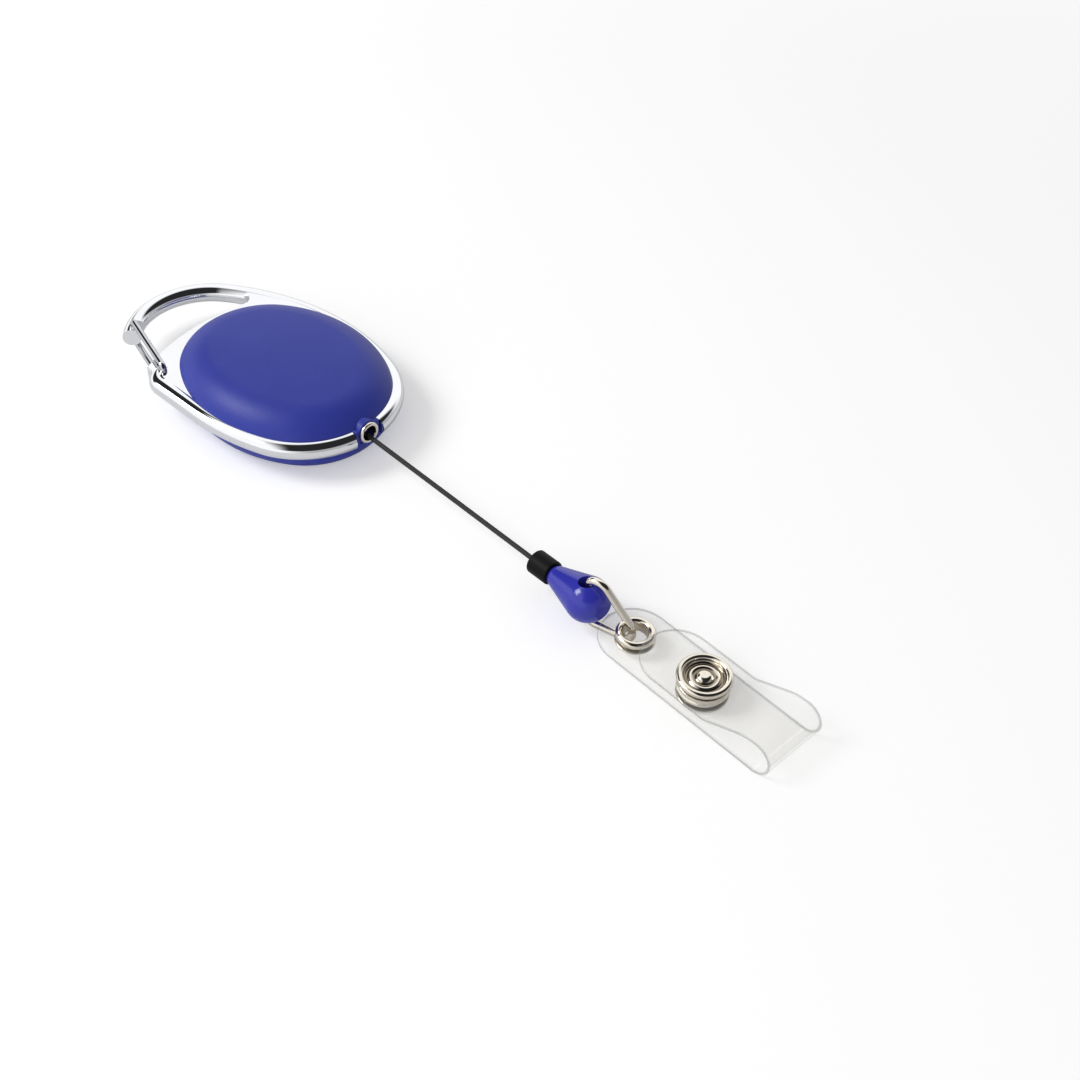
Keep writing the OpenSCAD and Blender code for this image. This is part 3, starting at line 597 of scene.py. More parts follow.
def turned_mesh(name, profile, place, segments=96):
    """Turns a profile of (radius, height) in mm round the local Z axis, then puts it in place."""
    radii, heights = np.array(profile, float).T
    angles = np.linspace(0, 2 * math.pi, segments, endpoint=False)
    rings = [np.column_stack([radii * math.cos(a), radii * math.sin(a), heights]) for a in angles]
    mesh = skin(name, rings, capped=False)
    mesh.transform(place)
    return tidy(mesh, TURNED_EDGE)


def turned_piece(name, profile, place, body, node, material, segments=96):
    return add_piece(name, turned_mesh(name, profile, place, segments), body, [node], material)


def ring_profile(corners, radii):
    return rounded(corners, radii, 6, closed=True)


def at(x, y, z):
    return Matrix.Translation(Vector((x, y, z)) * MM)


def along_x(x, y, z, turn=0.0):
    """A place whose local Z axis runs along the cord."""
    return at(x, y, z) @ Matrix.Rotation(turn, 4, "Z") @ Matrix.Rotation(math.pi / 2, 4, "Y")


washer = ring_profile([(1, 0), (2, 0), (2, 1), (1, 1)], [0.2] * 4)
print("profile of a plain washer:", len(washer), "points")

# %% [markdown]
# ## The exit ring and the stop collar
# A nickel bush in the nose of the case keeps the cord from cutting into the plastic. A rubber collar
# on the cord hits that bush when the cord runs home. Both are short tubes, and both are turned from a
# profile, with the bush's mouth well rounded, because the cord rubs on it.

# %% Exit ring and stop collar
EXIT_Z, NOSE_X = 7.2, 23.1
exit_profile = ring_profile(
    [(1.4, -2.5), (1.7, -2.5), (1.7, 0), (2.1, 0), (2.1, 0.7), (1.4, 0.7)],
    [0.1, 0.1, 0.05, 0.2, 0.33, 0.3])
turned_piece(
    "exit_ring", exit_profile, along_x(NOSE_X, 0, EXIT_Z), "housing", "exit_eyelet", nickel)

collar_profile = ring_profile(
    [(0.55, 0), (2.2, 0), (2.2, FERRULE_L), (0.55, FERRULE_L)], [0.2, 0.32, 0.32, 0.2])
ferrule = turned_piece(
    "stop_collar", collar_profile, along_x(*at_ferrule, CHAIN_TURN),
    "cord_end", "stop_ferrule", rubber)

# %% [markdown]
# ## The bead
# The bead is a moulded drop: a cone that swells into a ball with a small flat at the front. A hole runs
# down through it for the wire loop. The cone has to meet the ball without a kink, so its lean is worked
# out from the two radii and not judged by eye. The drop is turned, and a drill is taken out of it with
# a Boolean, as a workshop would do it.

# %% Profile of the drop
BEAD_R, NECK_R, BEAD_L, FLAT_R = 4.05, 1.75, 11.9, 1.7
BEAD_X = FERRULE_X + FERRULE_L
BULB_X = BEAD_X + BEAD_L - math.sqrt(BEAD_R**2 - FLAT_R**2)
bulb_at = BULB_X - BEAD_X
lean = math.asin(BEAD_R / math.hypot(bulb_at, NECK_R)) - math.atan2(NECK_R, bulb_at)
ball_angles = np.linspace(-lean, math.acos(FLAT_R / BEAD_R), 40)
ball = [(BEAD_R * math.cos(a), bulb_at + BEAD_R * math.sin(a)) for a in ball_angles]
neck = [(NECK_R + t * (ball[0][0] - NECK_R), t * ball[0][1]) for t in np.linspace(0.06, 0.94, 12)]
back_edge = [(0.0, 0.0), (NECK_R - 0.2, 0.0), (NECK_R - 0.05, 0.06)]
front_edge = [(FLAT_R - 0.15, BEAD_L), (0.0, BEAD_L)]
drop = np.vstack([back_edge, neck, ball, front_edge])
print("the cone leans", round(math.degrees(lean), 1), "degrees;", len(drop), "points")

# %% Bead and drill
CROSS_X, CROSS_R, DRILL_REACH, BEAD_EDGE = BULB_X - 0.3, 1.5, 5, 45


def drilled(name, mesh, cutter):
    """Takes a cutter out of a mesh."""
    body, tool = in_scene(name, mesh), in_scene(name + "_drill", cutter)
    cut = body.modifiers.new("drill", "BOOLEAN")
    cut.operation, cut.solver, cut.object = "DIFFERENCE", "EXACT", tool
    made = plain_mesh(body, name)
    bpy.data.objects.remove(tool)
    return made


def rod(name, radius, low, high, middle):
    """An upright rod round a point of the plane."""
    profile = [(0.0, low), (radius, low), (radius, high), (0.0, high)]
    return turned_mesh(name, profile, at(middle[0], middle[1], 0), 64)


drop_mesh = turned_mesh("drop", drop, along_x(*chain(BEAD_X), CHAIN_TURN), 128)
drill = rod("cross_drill", CROSS_R, PULL_Z - DRILL_REACH, PULL_Z + DRILL_REACH, chain(CROSS_X))
bead_mesh = tidy(drilled("bead_drop", drop_mesh, drill), BEAD_EDGE)
bead = add_piece("bead_drop", bead_mesh, "cord_end", ["bead"], bead_blue)

# %% [markdown]
# ## The knot
# The cord ends in a knot that sits in a pocket of the bead, where it can't be seen, so a turned bobbin
# stands for it.

# %% Knot
knot_profile = ring_profile(
    [(0.0, -1.2), (0.85, -1.1), (0.6, 0), (0.85, 1.1), (0.0, 1.2)], [0.01, 0.35, 0.3, 0.35, 0.01])
knot = turned_piece(
    "cord_knot", knot_profile, along_x(*chain(KNOT_X), CHAIN_TURN),
    "cord_end", "bead_knot", cord_finish, segments=48)

# %% [markdown]
# ## The wire loop
# The loop is a closed triangle of nickel wire that drops through the bead and carries the strap. It is
# drawn flat, in its own upright plane, with a bend at each corner, and then turned to the way it lies.
# A real one is bent round pins on a jig, and each radius below stands for a pin. The tube tree makes
# the wire.

# %% Wire loop
LOOP_X, LOOP_L, LOOP_R = CROSS_X + 0.5, 8.6, 0.7
LOOP_LOW, LOOP_TOP = 0.75, PULL_Z + BEAD_R + 0.15 + LOOP_R
LOOP_NOSE, LOOP_BACK, WIRE_SIDES = 2.9, 2.8, 32
loop_way = CHAIN_TURN + math.radians(13)
loop_foot = chain(LOOP_X)
loop_corners = [
    (0, LOOP_LOW), (LOOP_L, LOOP_LOW), (LOOP_L, LOOP_LOW + LOOP_NOSE), (LOOP_BACK, LOOP_TOP),
    (0, LOOP_TOP)]
across, up = rounded(loop_corners, [1.2, 1.5, 2.5, 2.2, 1.4], 14, closed=True).T
loop_path = np.column_stack([
    loop_foot[0] + across * math.cos(loop_way), loop_foot[1] + across * math.sin(loop_way), up])
tube_piece(
    "wire_loop", loop_path, LOOP_R, WIRE_SIDES, "loop", "bead_loop", nickel, closed=True)

# %% [markdown]
# ## The gate
# The gate is a long U of spring wire that shuts the hook. Its two ends are bent in and spring into the
# frame's shoulder, and its closed end presses into a seat in the hook's nose. It is bent from a path
# too, in the upright plane between the shoulder and the nose, so its length follows from those two.

# %% Gate
MID_Z = 6.5
GATE_PIVOT, GATE_END = np.array((-16.821, -15.7)), np.array((-32.905, -10.922))
GATE_R, GATE_LEG, GATE_BEND, GATE_GAP = 0.65, 2.6, 1.2, 0.3
reach = np.linalg.norm(GATE_END - GATE_PIVOT)
gate_way = (GATE_END - GATE_PIVOT) / reach
gate_corners = [
    (0, GATE_GAP), (0, GATE_LEG), (reach, GATE_LEG), (reach, -GATE_LEG), (0, -GATE_LEG), (0, -GATE_GAP)]
gate_out, gate_up = rounded(gate_corners, [0, *[GATE_BEND] * 4, 0], 12).T
gate_path = np.column_stack([GATE_PIVOT + np.outer(gate_out, gate_way), MID_Z + gate_up])
tube_piece("spring_gate", gate_path, GATE_R, WIRE_SIDES, "gate", "gate_wire", bright_wire)

# %% [markdown]
# ## The outline of the case
# Seen from above, the case is an oval of four arcs that meet smoothly: two tight ones at the ends and
# two wide ones along the sides. An ellipse would be quicker, but its bend changes all the way round,
# and a growing or shrinking ellipse is no longer one. Arcs keep an even wall.

# %% Oval outline
CASE_L, CASE_W, CASE_H, END_R = 44.8, 35.5, 13.0, 15.8
half_l, half_w = CASE_L / 2, CASE_W / 2
SIDE_R = ((half_l - END_R) ** 2 + half_w * half_w - END_R**2) / (2 * (half_w - END_R))
END_C, SIDE_C = half_l - END_R, SIDE_R - half_w
JOIN = math.degrees(math.atan2(SIDE_C, END_C))


def oval(grow):
    """Points round the case, grown or shrunk."""
    end = arc((END_C, 0), END_R + grow, -JOIN, JOIN, 72)
    side = arc((0, -SIDE_C), SIDE_R + grow, JOIN, 180 - JOIN, 56)
    half = np.vstack([end[:-1], side[:-1]])
    return np.vstack([half, -half])


print("oval side radius", round(SIDE_R, 2), "meets the end arc at", round(JOIN, 1), "degrees")

# %% [markdown]
# ## The covers
# Each cover is a shallow oval dish turned over: a skirt that sits in the frame, a seam, a wide rolled
# shoulder and a top that is nearly flat. It could be sculpted from a block with a subdivision surface.
# Rings of the outline, each one drawn in and lifted a little more, follow the real arcs and give a
# clean grid of faces with no facets to catch the light.

# %% Rings of a cover
PLATE_T, CROWN_R = 3.2, 170.0
PLATE_LOW, PLATE_TOP = MID_Z - PLATE_T / 2, MID_Z + PLATE_T / 2
COVER_H = CASE_H - PLATE_TOP
SKIRT_IN, WALL_IN = 2.3, 3.5
SEAM_STEPS = [(-0.35, 0.0), (-0.12, 0.03), (-0.03, 0.12)]
TOP_SHARES = (0.9, 0.75, 0.6, 0.45, 0.3, 0.15)


def cover_rings(width, crown, ceiling):
    """Rings from the ceiling, down the skirt, out along the seam, over the shoulder to the top.

    The shoulder is width wide, and crown is 1 for a slightly domed top or 0 for a flat one."""
    def domed(flat, height):
        fall = crown * (flat**2).sum(axis=1) / (2 * CROWN_R) / COVER_H
        return np.column_stack([flat, PLATE_TOP + height * (1 - fall)])

    shoulder = (width**2 + COVER_H**2) / (2 * COVER_H)
    inside = [(-WALL_IN, ceiling), (-WALL_IN, MID_Z), (-SKIRT_IN, MID_Z), (-SKIRT_IN, PLATE_TOP)]
    rings = [np.column_stack([oval(grow), np.full(len(oval(grow)), z)]) for grow, z in inside]
    rings += [domed(oval(grow), height) for grow, height in SEAM_STEPS]
    for a in np.linspace(math.asin(1 - COVER_H / shoulder), math.pi / 2, 30)[1:]:
        rings.append(domed(oval(shoulder * math.cos(a) - width), COVER_H - shoulder * (1 - math.sin(a))))
    return rings + [domed(oval(-width) * share, COVER_H) for share in TOP_SHARES]


print("cover height over the frame:", round(COVER_H, 2), "mm")

# %% [markdown]
# ## What is moulded on the covers
# Four pins in the back cover meet four bosses of the front one, and a small nose on each cover holds
# the exit ring. Pins and bosses repeat, so they could be copied by hand or with an Array; a tree that
# stands one cylinder on every point takes any pattern. The nose is plain blocks with eased edges, as a
# moulding has them.

# %% Pins, bosses and blocks
POST_SIDES, POST_EDGE, BLOCK_EDGE = 32, 35, 30


def posts_tree():
    tree, given, result = growing_tree("posts_on_points", {"Radius": "Float", "Height": "Float"})
    post = tree.nodes.new("GeometryNodeMeshCylinder")
    stand = tree.nodes.new("GeometryNodeInstanceOnPoints")
    post.inputs["Vertices"].default_value = POST_SIDES
    tree.links.new(given["Radius"], post.inputs["Radius"])
    tree.links.new(given["Height"], post.inputs["Depth"])
    tree.links.new(given["Geometry"], stand.inputs["Points"])
    tree.links.new(post.outputs["Mesh"], stand.inputs["Instance"])
    tree.links.new(stand.outputs["Instances"], result)
    return tree


POSTS = posts_tree()


def posts_mesh(name, places, radius, low, high, material):
    """Round posts from low to high at each place, all from one cylinder."""
    points = bpy.data.meshes.new(name + "_points")
    points.from_pydata([(x * MM, y * MM, (low + high) / 2 * MM) for x, y in places], [], [])
    sizes = {"Radius": radius * MM, "Height": (high - low) * MM, "Finish": material}
    return tidy(grown(name, points, POSTS, sizes), POST_EDGE)


def written(name, work):
    """What a bmesh holds, as a mesh."""
    mesh = bpy.data.meshes.new(name)
    work.to_mesh(mesh)
    work.free()
    return mesh


def joined(name, meshes):
    """Several meshes as one."""
    work = bmesh.new()
    for mesh in meshes:
        work.from_mesh(mesh)
    return written(name, work)


def rounded_block(name, low, high, radius=0.15):
    """A block with its edges eased."""
    work = bmesh.new()
    bmesh.ops.create_cube(work, size=1)
    size, middle = np.array(high) - np.array(low), (np.array(high) + np.array(low)) / 2
    for v in work.verts:
        v.co = Vector((np.array(v.co) * size + middle) * MM)
    bmesh.ops.bevel(
        work, geom=work.edges[:], offset=radius * MM, segments=3, profile=0.5, affect="EDGES")
    return tidy(written(name, work), BLOCK_EDGE)


print("post inputs:", [s.name for s in POSTS.interface.items_tree if s.in_out == "INPUT"])

# %% Both covers
FRONT_SHOULDER, BACK_SHOULDER = 6.3, 4.9
COVER_WALL, CEILING, COVER_EDGE = 1.3, 10.95, 50
PINS, PIN_R = [(x, y) for x in (-14.4, 14.4) for y in (-7, 7)], 1.0
BOSS_LOW, PIN_TOP, SUNK = MID_Z + 2.4, MID_Z + 2.2, 0.1
NOSE_BACK, NOSE_HALF, NOSE_WALL, NOSE_LAP = 19.5, 2.75, 1.9, 0.3
NOSE_FLOOR, NOSE_SIDES_LOW = 5.35, 5.0


def nose_sides(name, low, high):
    return [
        rounded_block(f"{name}_{k}", (NOSE_BACK, y, low), (NOSE_X, y + NOSE_HALF - NOSE_WALL, high))
        for k, y in enumerate((-NOSE_HALF, NOSE_WALL))]


def cover_piece(name, rings, parts, node):
    dome = tidy(skin(name + "_dome", rings, capped=True), COVER_EDGE)
    mesh = smoothed(joined(name, [dome, *parts]), COVER_EDGE)
    return add_piece(name, mesh, "housing", [node], case_blue)


nose_bush = ring_profile([(1.75, -3.0), (2.3, -3.0), (2.3, 0), (1.75, 0)], [0.05, 0.1, 0.15, 0.1])
cover_piece("cover_front", cover_rings(FRONT_SHOULDER, 1.0, CEILING), [
    turned_mesh("front_bush", nose_bush, along_x(NOSE_X, 0, EXIT_Z)),
    *nose_sides("front_nose", MID_Z, PLATE_TOP + NOSE_LAP),
    posts_mesh("bosses", PINS, 2 * PIN_R, BOSS_LOW, CEILING + SUNK, case_blue)], "front_cover")

back_rings = cover_rings(BACK_SHOULDER, 0.0, CASE_H - COVER_WALL)
back_rings = [ring * (1, 1, -1) + (0, 0, CASE_H) for ring in back_rings]
nose_low, nose_high = (NOSE_BACK, -NOSE_HALF, PLATE_LOW - NOSE_LAP), (NOSE_X, NOSE_HALF, NOSE_FLOOR)
cover_piece("cover_back", back_rings, [
    rounded_block("back_nose", nose_low, nose_high),
    *nose_sides("back_nose", NOSE_SIDES_LOW, MID_Z),
    posts_mesh("pins", PINS, PIN_R, COVER_WALL - SUNK, PIN_TOP, case_blue)], "back_cover")

# %% [markdown]
# ## The frame's band
# The frame is one casting: a flat plate that carries the covers, and a round band along its edge that
# leaves the plate at the far side to become the hook. The band follows arcs that meet smoothly, so it
# is a tube along a path again. A smooth join needs both centres and the joint on one line, and that is
# what the sums below work out.

# %% Band
BAND_R, WAIST_X, FRONT_R, BAND_B = 1.8, -3.6, 18.0, CASE_W / 2 + 1.85
HOOK_R, HOOK_Y, HOOK_TIP, BAR_X, BAR_R = 15.6, -2.0, 230, -24.0, 40.0
EXIT_HALF, ROOT_R, BAND_SIDES = 2.9, 3.0, 64
FRONT_END = CASE_L / 2 + 1.8
BAND_SIDE = ((FRONT_END - WAIST_X - FRONT_R) ** 2 + BAND_B**2 - FRONT_R**2) / (2 * (BAND_B - FRONT_R))
BAND_C, FRONT_C = BAND_SIDE - BAND_B, FRONT_END - FRONT_R
FRONT_JOIN = math.degrees(math.atan2(BAND_C, FRONT_C - WAIST_X))
HOOK_X = WAIST_X - math.sqrt((BAND_SIDE - HOOK_R) ** 2 - (HOOK_Y + BAND_C) ** 2)
HOOK_JOIN = math.degrees(math.atan2(HOOK_Y + BAND_C, HOOK_X - WAIST_X))
NEAR_Y = -(BAND_B - BAND_R)
CORNER_X = BAR_X + BAR_R - math.sqrt(BAR_R**2 - NEAR_Y**2) + BAND_R


def band_line(inset):
    """The band's far half, from the exit to the hook's start, and its near half to the shoulder."""
    front, side = FRONT_R - inset, BAND_SIDE - inset
    gap = math.degrees(math.asin(EXIT_HALF / front))
    far = np.vstack([arc((FRONT_C, 0), front, gap, FRONT_JOIN, 60),
                     arc((WAIST_X, -BAND_C), side, FRONT_JOIN, HOOK_JOIN, 90)])
    near = np.vstack([arc((FRONT_C, 0), front, -gap, -FRONT_JOIN, 60),
                      arc((WAIST_X, BAND_C), side, -FRONT_JOIN, -90, 60)])
    return spaced(far), spaced(near)


def band_tube(name, flat):
    path = np.column_stack([flat, np.full(len(flat), MID_Z)])
    return tube_mesh(name, path, BAND_R, BAND_SIDES, chrome)


far_line, near_line = band_line(BAND_R)
hook_line = arc((HOOK_X, HOOK_Y), HOOK_R - BAND_R, HOOK_JOIN, HOOK_TIP, 110)
corner = arc((CORNER_X + ROOT_R, NEAR_Y + ROOT_R), ROOT_R, 270, 180, 20)
far_path, near_path = spaced(np.vstack([far_line, hook_line])), spaced(np.vstack([near_line, corner]))
print("hook centre", round(HOOK_X, 2), HOOK_Y, "band side radius", round(BAND_SIDE, 2))

# %% [markdown]
# ## The frame's plate
# The plate fills the band and has an oval seat for the covers. At the far side a bar closes it, with a
# small round where the hook's opening begins, and at the front it is cut square for the cord. All this
# could be cut with Booleans. A single outline, raised into a slab and then eased with a Bevel modifier,
# gives cleaner edges, and on polished metal the edges are what is seen.

# %% Outline of the plate
NOTCH_R, PLATE_LAP, SEAT_IN = 1.6, 1.25, 2.2
EXIT_CLEAR = EXIT_HALF + 0.4
FAR_C, BAR_C = np.array((WAIST_X, -BAND_C)), np.array((BAR_X + BAR_R, 0.0))


def circles_meet(c0, r0, c1, r1):
    """The upper of the two points where two circles cross."""
    between = c1 - c0
    gap = np.linalg.norm(between)
    along = (gap**2 + r0**2 - r1**2) / (2 * gap)
    side = np.array((-between[1], between[0])) / gap * math.sqrt(r0**2 - along**2)
    foot = c0 + between / gap * along
    return max(foot + side, foot - side, key=lambda p: p[1])


def heading(start, stop):
    return math.degrees(math.atan2(stop[1] - start[1], stop[0] - start[0]))


notch = circles_meet(FAR_C, BAND_SIDE - 2 * BAND_R - NOTCH_R, BAR_C, BAR_R + NOTCH_R)
notch_line = arc(notch, NOTCH_R, heading(FAR_C, notch), heading(notch, BAR_C), 16)
far_in, near_in = band_line(BAND_R * PLATE_LAP)
far_turn = np.degrees(np.arctan2(far_in[:, 1] + BAND_C, far_in[:, 0] - WAIST_X))
far_in = far_in[far_turn < heading(FAR_C, notch)]
bar_stop = 180 + math.degrees(math.asin((-NEAR_Y - BAND_R / 4) / BAR_R))
bar_line = arc(BAR_C, BAR_R, heading(BAR_C, notch) % 360, bar_stop, 60)
hole = oval(-SEAT_IN)
hole = np.roll(hole, -int(np.argmax(hole[:, 1] > EXIT_CLEAR)), axis=0)
hole = hole[(np.abs(hole[:, 1]) > EXIT_CLEAR) | (hole[:, 0] < 0)]
hole_x = END_C + math.sqrt((END_R - SEAT_IN) ** 2 - EXIT_HALF**2)
seat_line = np.vstack([[(hole_x, -EXIT_HALF)], hole[::-1], [(hole_x, EXIT_HALF)]])
outline = spaced(np.vstack([far_in, notch_line, bar_line, near_in[::-1], seat_line]), 0.05)
print("plate outline:", len(outline), "points")

# %% Plate
EASE, EASE_STEPS, EASE_ANGLE = 0.35, 3, 50


def slab(name, flat, low, high):
    """A flat outline raised into a solid."""
    work = bmesh.new()
    face = work.faces.new([work.verts.new((x * MM, y * MM, low * MM)) for x, y in flat])
    raised = bmesh.ops.extrude_face_region(work, geom=[face])
    for v in (g for g in raised["geom"] if isinstance(g, bmesh.types.BMVert)):
        v.co.z = high * MM
    bmesh.ops.recalc_face_normals(work, faces=work.faces)
    return written(name, work)


def eased(name, mesh, edge):
    """Rounds the hard edges of a mesh and keeps its flats flat."""
    mesh.polygons.foreach_set("use_smooth", [True] * len(mesh.polygons))
    body = in_scene(name, mesh)
    ease = body.modifiers.new("ease", "BEVEL")
    ease.width, ease.segments, ease.harden_normals = edge * MM, EASE_STEPS, True
    ease.limit_method, ease.angle_limit = "ANGLE", math.radians(EASE_ANGLE)
    return plain_mesh(body, name)


frame_plate = eased("frame_plate", slab("plate_slab", outline, PLATE_LOW, PLATE_TOP), EASE)
print("plate:", len(frame_plate.polygons), "faces")

# %% [markdown]
# ## The gate's seat, and the whole frame
# The hook's nose has a seat for the gate, open along the way the gate swings. A round drill makes its
# bottom, and a slice of a thick ring about the gate's pivot makes its mouth, so the gate clears it as
# it opens. Pushing points about by hand could only guess at that path. The near band ends in a ball,
# because a casting has no sharp end.

# %% Seat and frame
SEAT_R, SEAT_SWING, BAND_EDGE = GATE_R + 0.15, 14, 50
gate_angle = heading((0, 0), gate_way)
mouth = np.vstack([
    arc(GATE_PIVOT, reach + SEAT_R, gate_angle - SEAT_SWING, gate_angle, 24),
    arc(GATE_PIVOT, reach - SEAT_R, gate_angle, gate_angle - SEAT_SWING, 24)])
hook_tube = band_tube("far_band", far_path)
for cutter in (rod("seat_round", SEAT_R, 0, CASE_H, GATE_END), slab("seat_swing", mouth, 0, CASE_H)):
    hook_tube = drilled("hook_tube", hook_tube, cutter)
near_tube = band_tube("near_band", near_path)
half_ball = arc((0, 0), BAND_R, -90, 90, 24)
corner_end = turned_mesh("corner_end", half_ball, at(*near_path[-1], MID_Z), BAND_SIDES)
frame_mesh = joined("hook_frame", [
    tidy(hook_tube, BAND_EDGE), tidy(near_tube, BAND_EDGE), corner_end, frame_plate])
add_piece("hook_frame", frame_mesh, "housing", ["chrome_frame"], chrome)

# %% [markdown]
# ## The vinyl
# Clear vinyl shows mostly at its cut edges, where light leaves that has run along inside it, and where
# it is seen at a glancing angle. A Glass shader would bend the view through so thin a sheet too much and
# needs many bounces. So the finish mixes a plain see-through shader with a glossy skin. How much skin
# shows depends on a slight haze, on the angle and on a mark that the mesh carries along its edges.


# %% Vinyl finish
def clear_vinyl():
    finish = Finish("clear_vinyl")
    rim = finish.node("ShaderNodeAttribute", {"attribute_name": "rim"}, out="Fac")
    haze, scuff = finish.noise(7, 3), finish.noise(0.8, 4)
    facing = finish.node("ShaderNodeLayerWeight", None, {"Blend": 0.35}, out="Facing")
    skin_share = 0.025 + 0.06 * haze + 0.36 * facing**3 + 0.40 * rim
    sheet = finish.principled(
        Base_Color=finish.between(rim, linear(252, 252, 250), linear(160, 161, 163)), IOR=1.53,
        Roughness=0.10 + 0.12 * haze, Normal=finish.bump(scuff, 0.02, 0.15))
    clear = finish.node("ShaderNodeBsdfTransparent", None, {"Color": (0.995, 0.994, 0.99, 1)})
    return finish.show(finish.node("ShaderNodeMixShader", None, {0: skin_share, 1: clear, 2: sheet}))


vinyl = clear_vinyl()
print("vinyl finish:", vinyl.name)

# %% [markdown]
# ## The strap
# The strap is one length of vinyl, half a millimetre thick, doubled over so that its flap comes back
# to the snap. A cloth simulation could fold it, but a strip this stiff takes the shape that its length
# and its snap give it: flat, round the fold, down a slope in two easy bends, and flat again. It is one
# strip, so it is one mesh: a section with round edges carried along that line.

# %% Strap frame and centreline
STRAP_TURN, STRAP_W, STRAP_T = math.radians(-1.6), 12.7, 0.5
FOLD_X, FOLD_R, FLAP_X, FLAP_Z, SNAP_X, SNAP_R = 31.0, 3.1, 3.0, 2.5, 15.1, 4.7
EYELET_Z, EYELET_PLAY = 1.95, 0.75
FLAP_SLOPE, BEND_IN, BEND_OUT = 24, 3.0, 10.0


def towards(turn):
    return np.array((math.cos(turn), math.sin(turn)))


eyelet_at = np.array(loop_foot[:2]) + LOOP_L * towards(loop_way) + EYELET_PLAY * towards(STRAP_TURN)
STRAP = (at(*eyelet_at, EYELET_Z) @ Matrix.Rotation(STRAP_TURN, 4, "Z")
         @ Matrix.Rotation(math.asin(EYELET_Z / FOLD_X), 4, "Y"))
FOLD_Z = STRAP_T / 2 + FOLD_R
flap_low, flap_high = FLAP_Z + STRAP_T / 2, FOLD_Z + FOLD_R
slope, bends = math.radians(FLAP_SLOPE), BEND_IN + BEND_OUT
run = (flap_high - flap_low - bends * (1 - math.cos(slope))) / math.sin(slope)
flat_x = SNAP_X + SNAP_R + 0.1
knee_x = flat_x + bends * math.sin(slope) + run * math.cos(slope)
centre_line = spaced(np.vstack([
    [(x, STRAP_T / 2) for x in np.linspace(-STRAP_W / 2, FOLD_X, 76)],
    arc((FOLD_X, FOLD_Z), FOLD_R, -90, 90, 48),
    [(x, flap_high) for x in np.linspace(FOLD_X, knee_x, 4)],
    arc((knee_x, flap_high - BEND_OUT), BEND_OUT, 90, 90 + FLAP_SLOPE, 20),
    arc((flat_x, flap_low + BEND_IN), BEND_IN, FLAP_SLOPE - 90, -90, 14),
    [(x, flap_low) for x in np.linspace(flat_x, FLAP_X, 40)]]), 0.02)
print("strap length", round(length_of(centre_line), 1), "mm")

# %% Section of the strap
EDGE_R, EDGE_RIM, RIM_IN, FLAT_IN = 0.2, 0.3, 0.55, 1.2


def strip_section():
    """The strap's section seen from its end: across, up, and how close to the cut edge."""
    half, t = STRAP_W / 2, STRAP_T / 2
    flat = [(a, t, 0.0) for a in np.linspace(-half + FLAT_IN, half - FLAT_IN, 13)]
    turn = [(half - RIM_IN, t, 0.0), (half - EDGE_R, t, EDGE_RIM)]
    for a in np.radians((30, 60, 90)):
        turn.append((half - EDGE_R + EDGE_R * math.sin(a), t - EDGE_R + EDGE_R * math.cos(a), 1.0))
    right = turn + [(a, -u, r) for a, u, r in reversed(turn)]
    under = [(a, -t, 0.0) for a, _, _ in reversed(flat)]
    left = [(-a, u, r) for a, u, r in reversed(right)]
    return np.array(flat + right + under + left)


print("strap section:", len(strip_section()), "points")

# %% Strap
END_RIM, LEAST_WIDTH, STRAP_EDGE = 0.15, 0.1, 50
EYELET_HOLE, SNAP_HOLE = 2.45, 1.6


def strap_mesh(name, line):
    """Carries the section along a line; both ends narrow to a half circle."""
    section, half, rings, rims = strip_section(), STRAP_W / 2, [], []
    lengths = np.concatenate([[0], np.cumsum(np.linalg.norm(np.diff(line, axis=0), axis=1))])
    ways = [unit(way) for way in np.gradient(line, axis=0)]
    for (x, z), (dx, dz), s in zip(line, ways, lengths):
        to_end = min(s, lengths[-1] - s)
        wide = math.sqrt(max(half**2 - max(half - to_end, 0) ** 2, LEAST_WIDTH**2))
        rings.append(np.column_stack([
            x - section[:, 1] * dz, section[:, 0] * wide / half, z + section[:, 1] * dx]))
        rims.append(np.maximum(section[:, 2], 1.0 if to_end < END_RIM else 0.0))
    mesh = tidy(skin(name, rings, capped=True), STRAP_EDGE)
    mesh.transform(STRAP)
    rim = mesh.attributes.new("rim", "FLOAT", "POINT")
    rim.data.foreach_set("value", np.concatenate(rims).astype(np.float32))
    return mesh


def strap_drill(name, x, radius, low, high):
    drill = rod(name, radius, low, high, (x, 0))
    drill.transform(STRAP)
    return drill


strip = strap_mesh("clear_strap", centre_line)
for cutter in (strap_drill("eyelet_drill", 0, EYELET_HOLE, low=-1, high=1.5),
               strap_drill("snap_drill", SNAP_X, SNAP_HOLE, low=-1, high=3.4)):
    strip = drilled("clear_strap", strip, cutter)
strap = add_piece(
    "clear_strap", tidy(strip, STRAP_EDGE), None, ["strap_base", "strap_flap"], vinyl)
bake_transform(strap)

# %% [markdown]
# ## The strap's eyelet
# A nickel eyelet lines the hole for the wire loop. It is a tube with a flat flange below, whose upper
# end was rolled over outwards by a press. The roll is most of a circle in the profile, so it is drawn
# as one and turned like the rest.


# %% Rolled eyelet
def on_strap(x):
    return STRAP @ at(x, 0, 0)


eyelet_profile = np.vstack([
    [(2.1, -0.45), (3.25, -0.45)], arc((3.25, -0.25), 0.2, -90, 90, 8),
    [(2.45, -0.05), (2.4, 0.05), (2.4, 0.52)], arc((2.775, 1.175), 0.675, -95, 175, 36), [(2.1, 0.9)]])
turned_piece("rolled_eyelet", eyelet_profile, on_strap(0), "strap", "strap_eyelet", nickel)

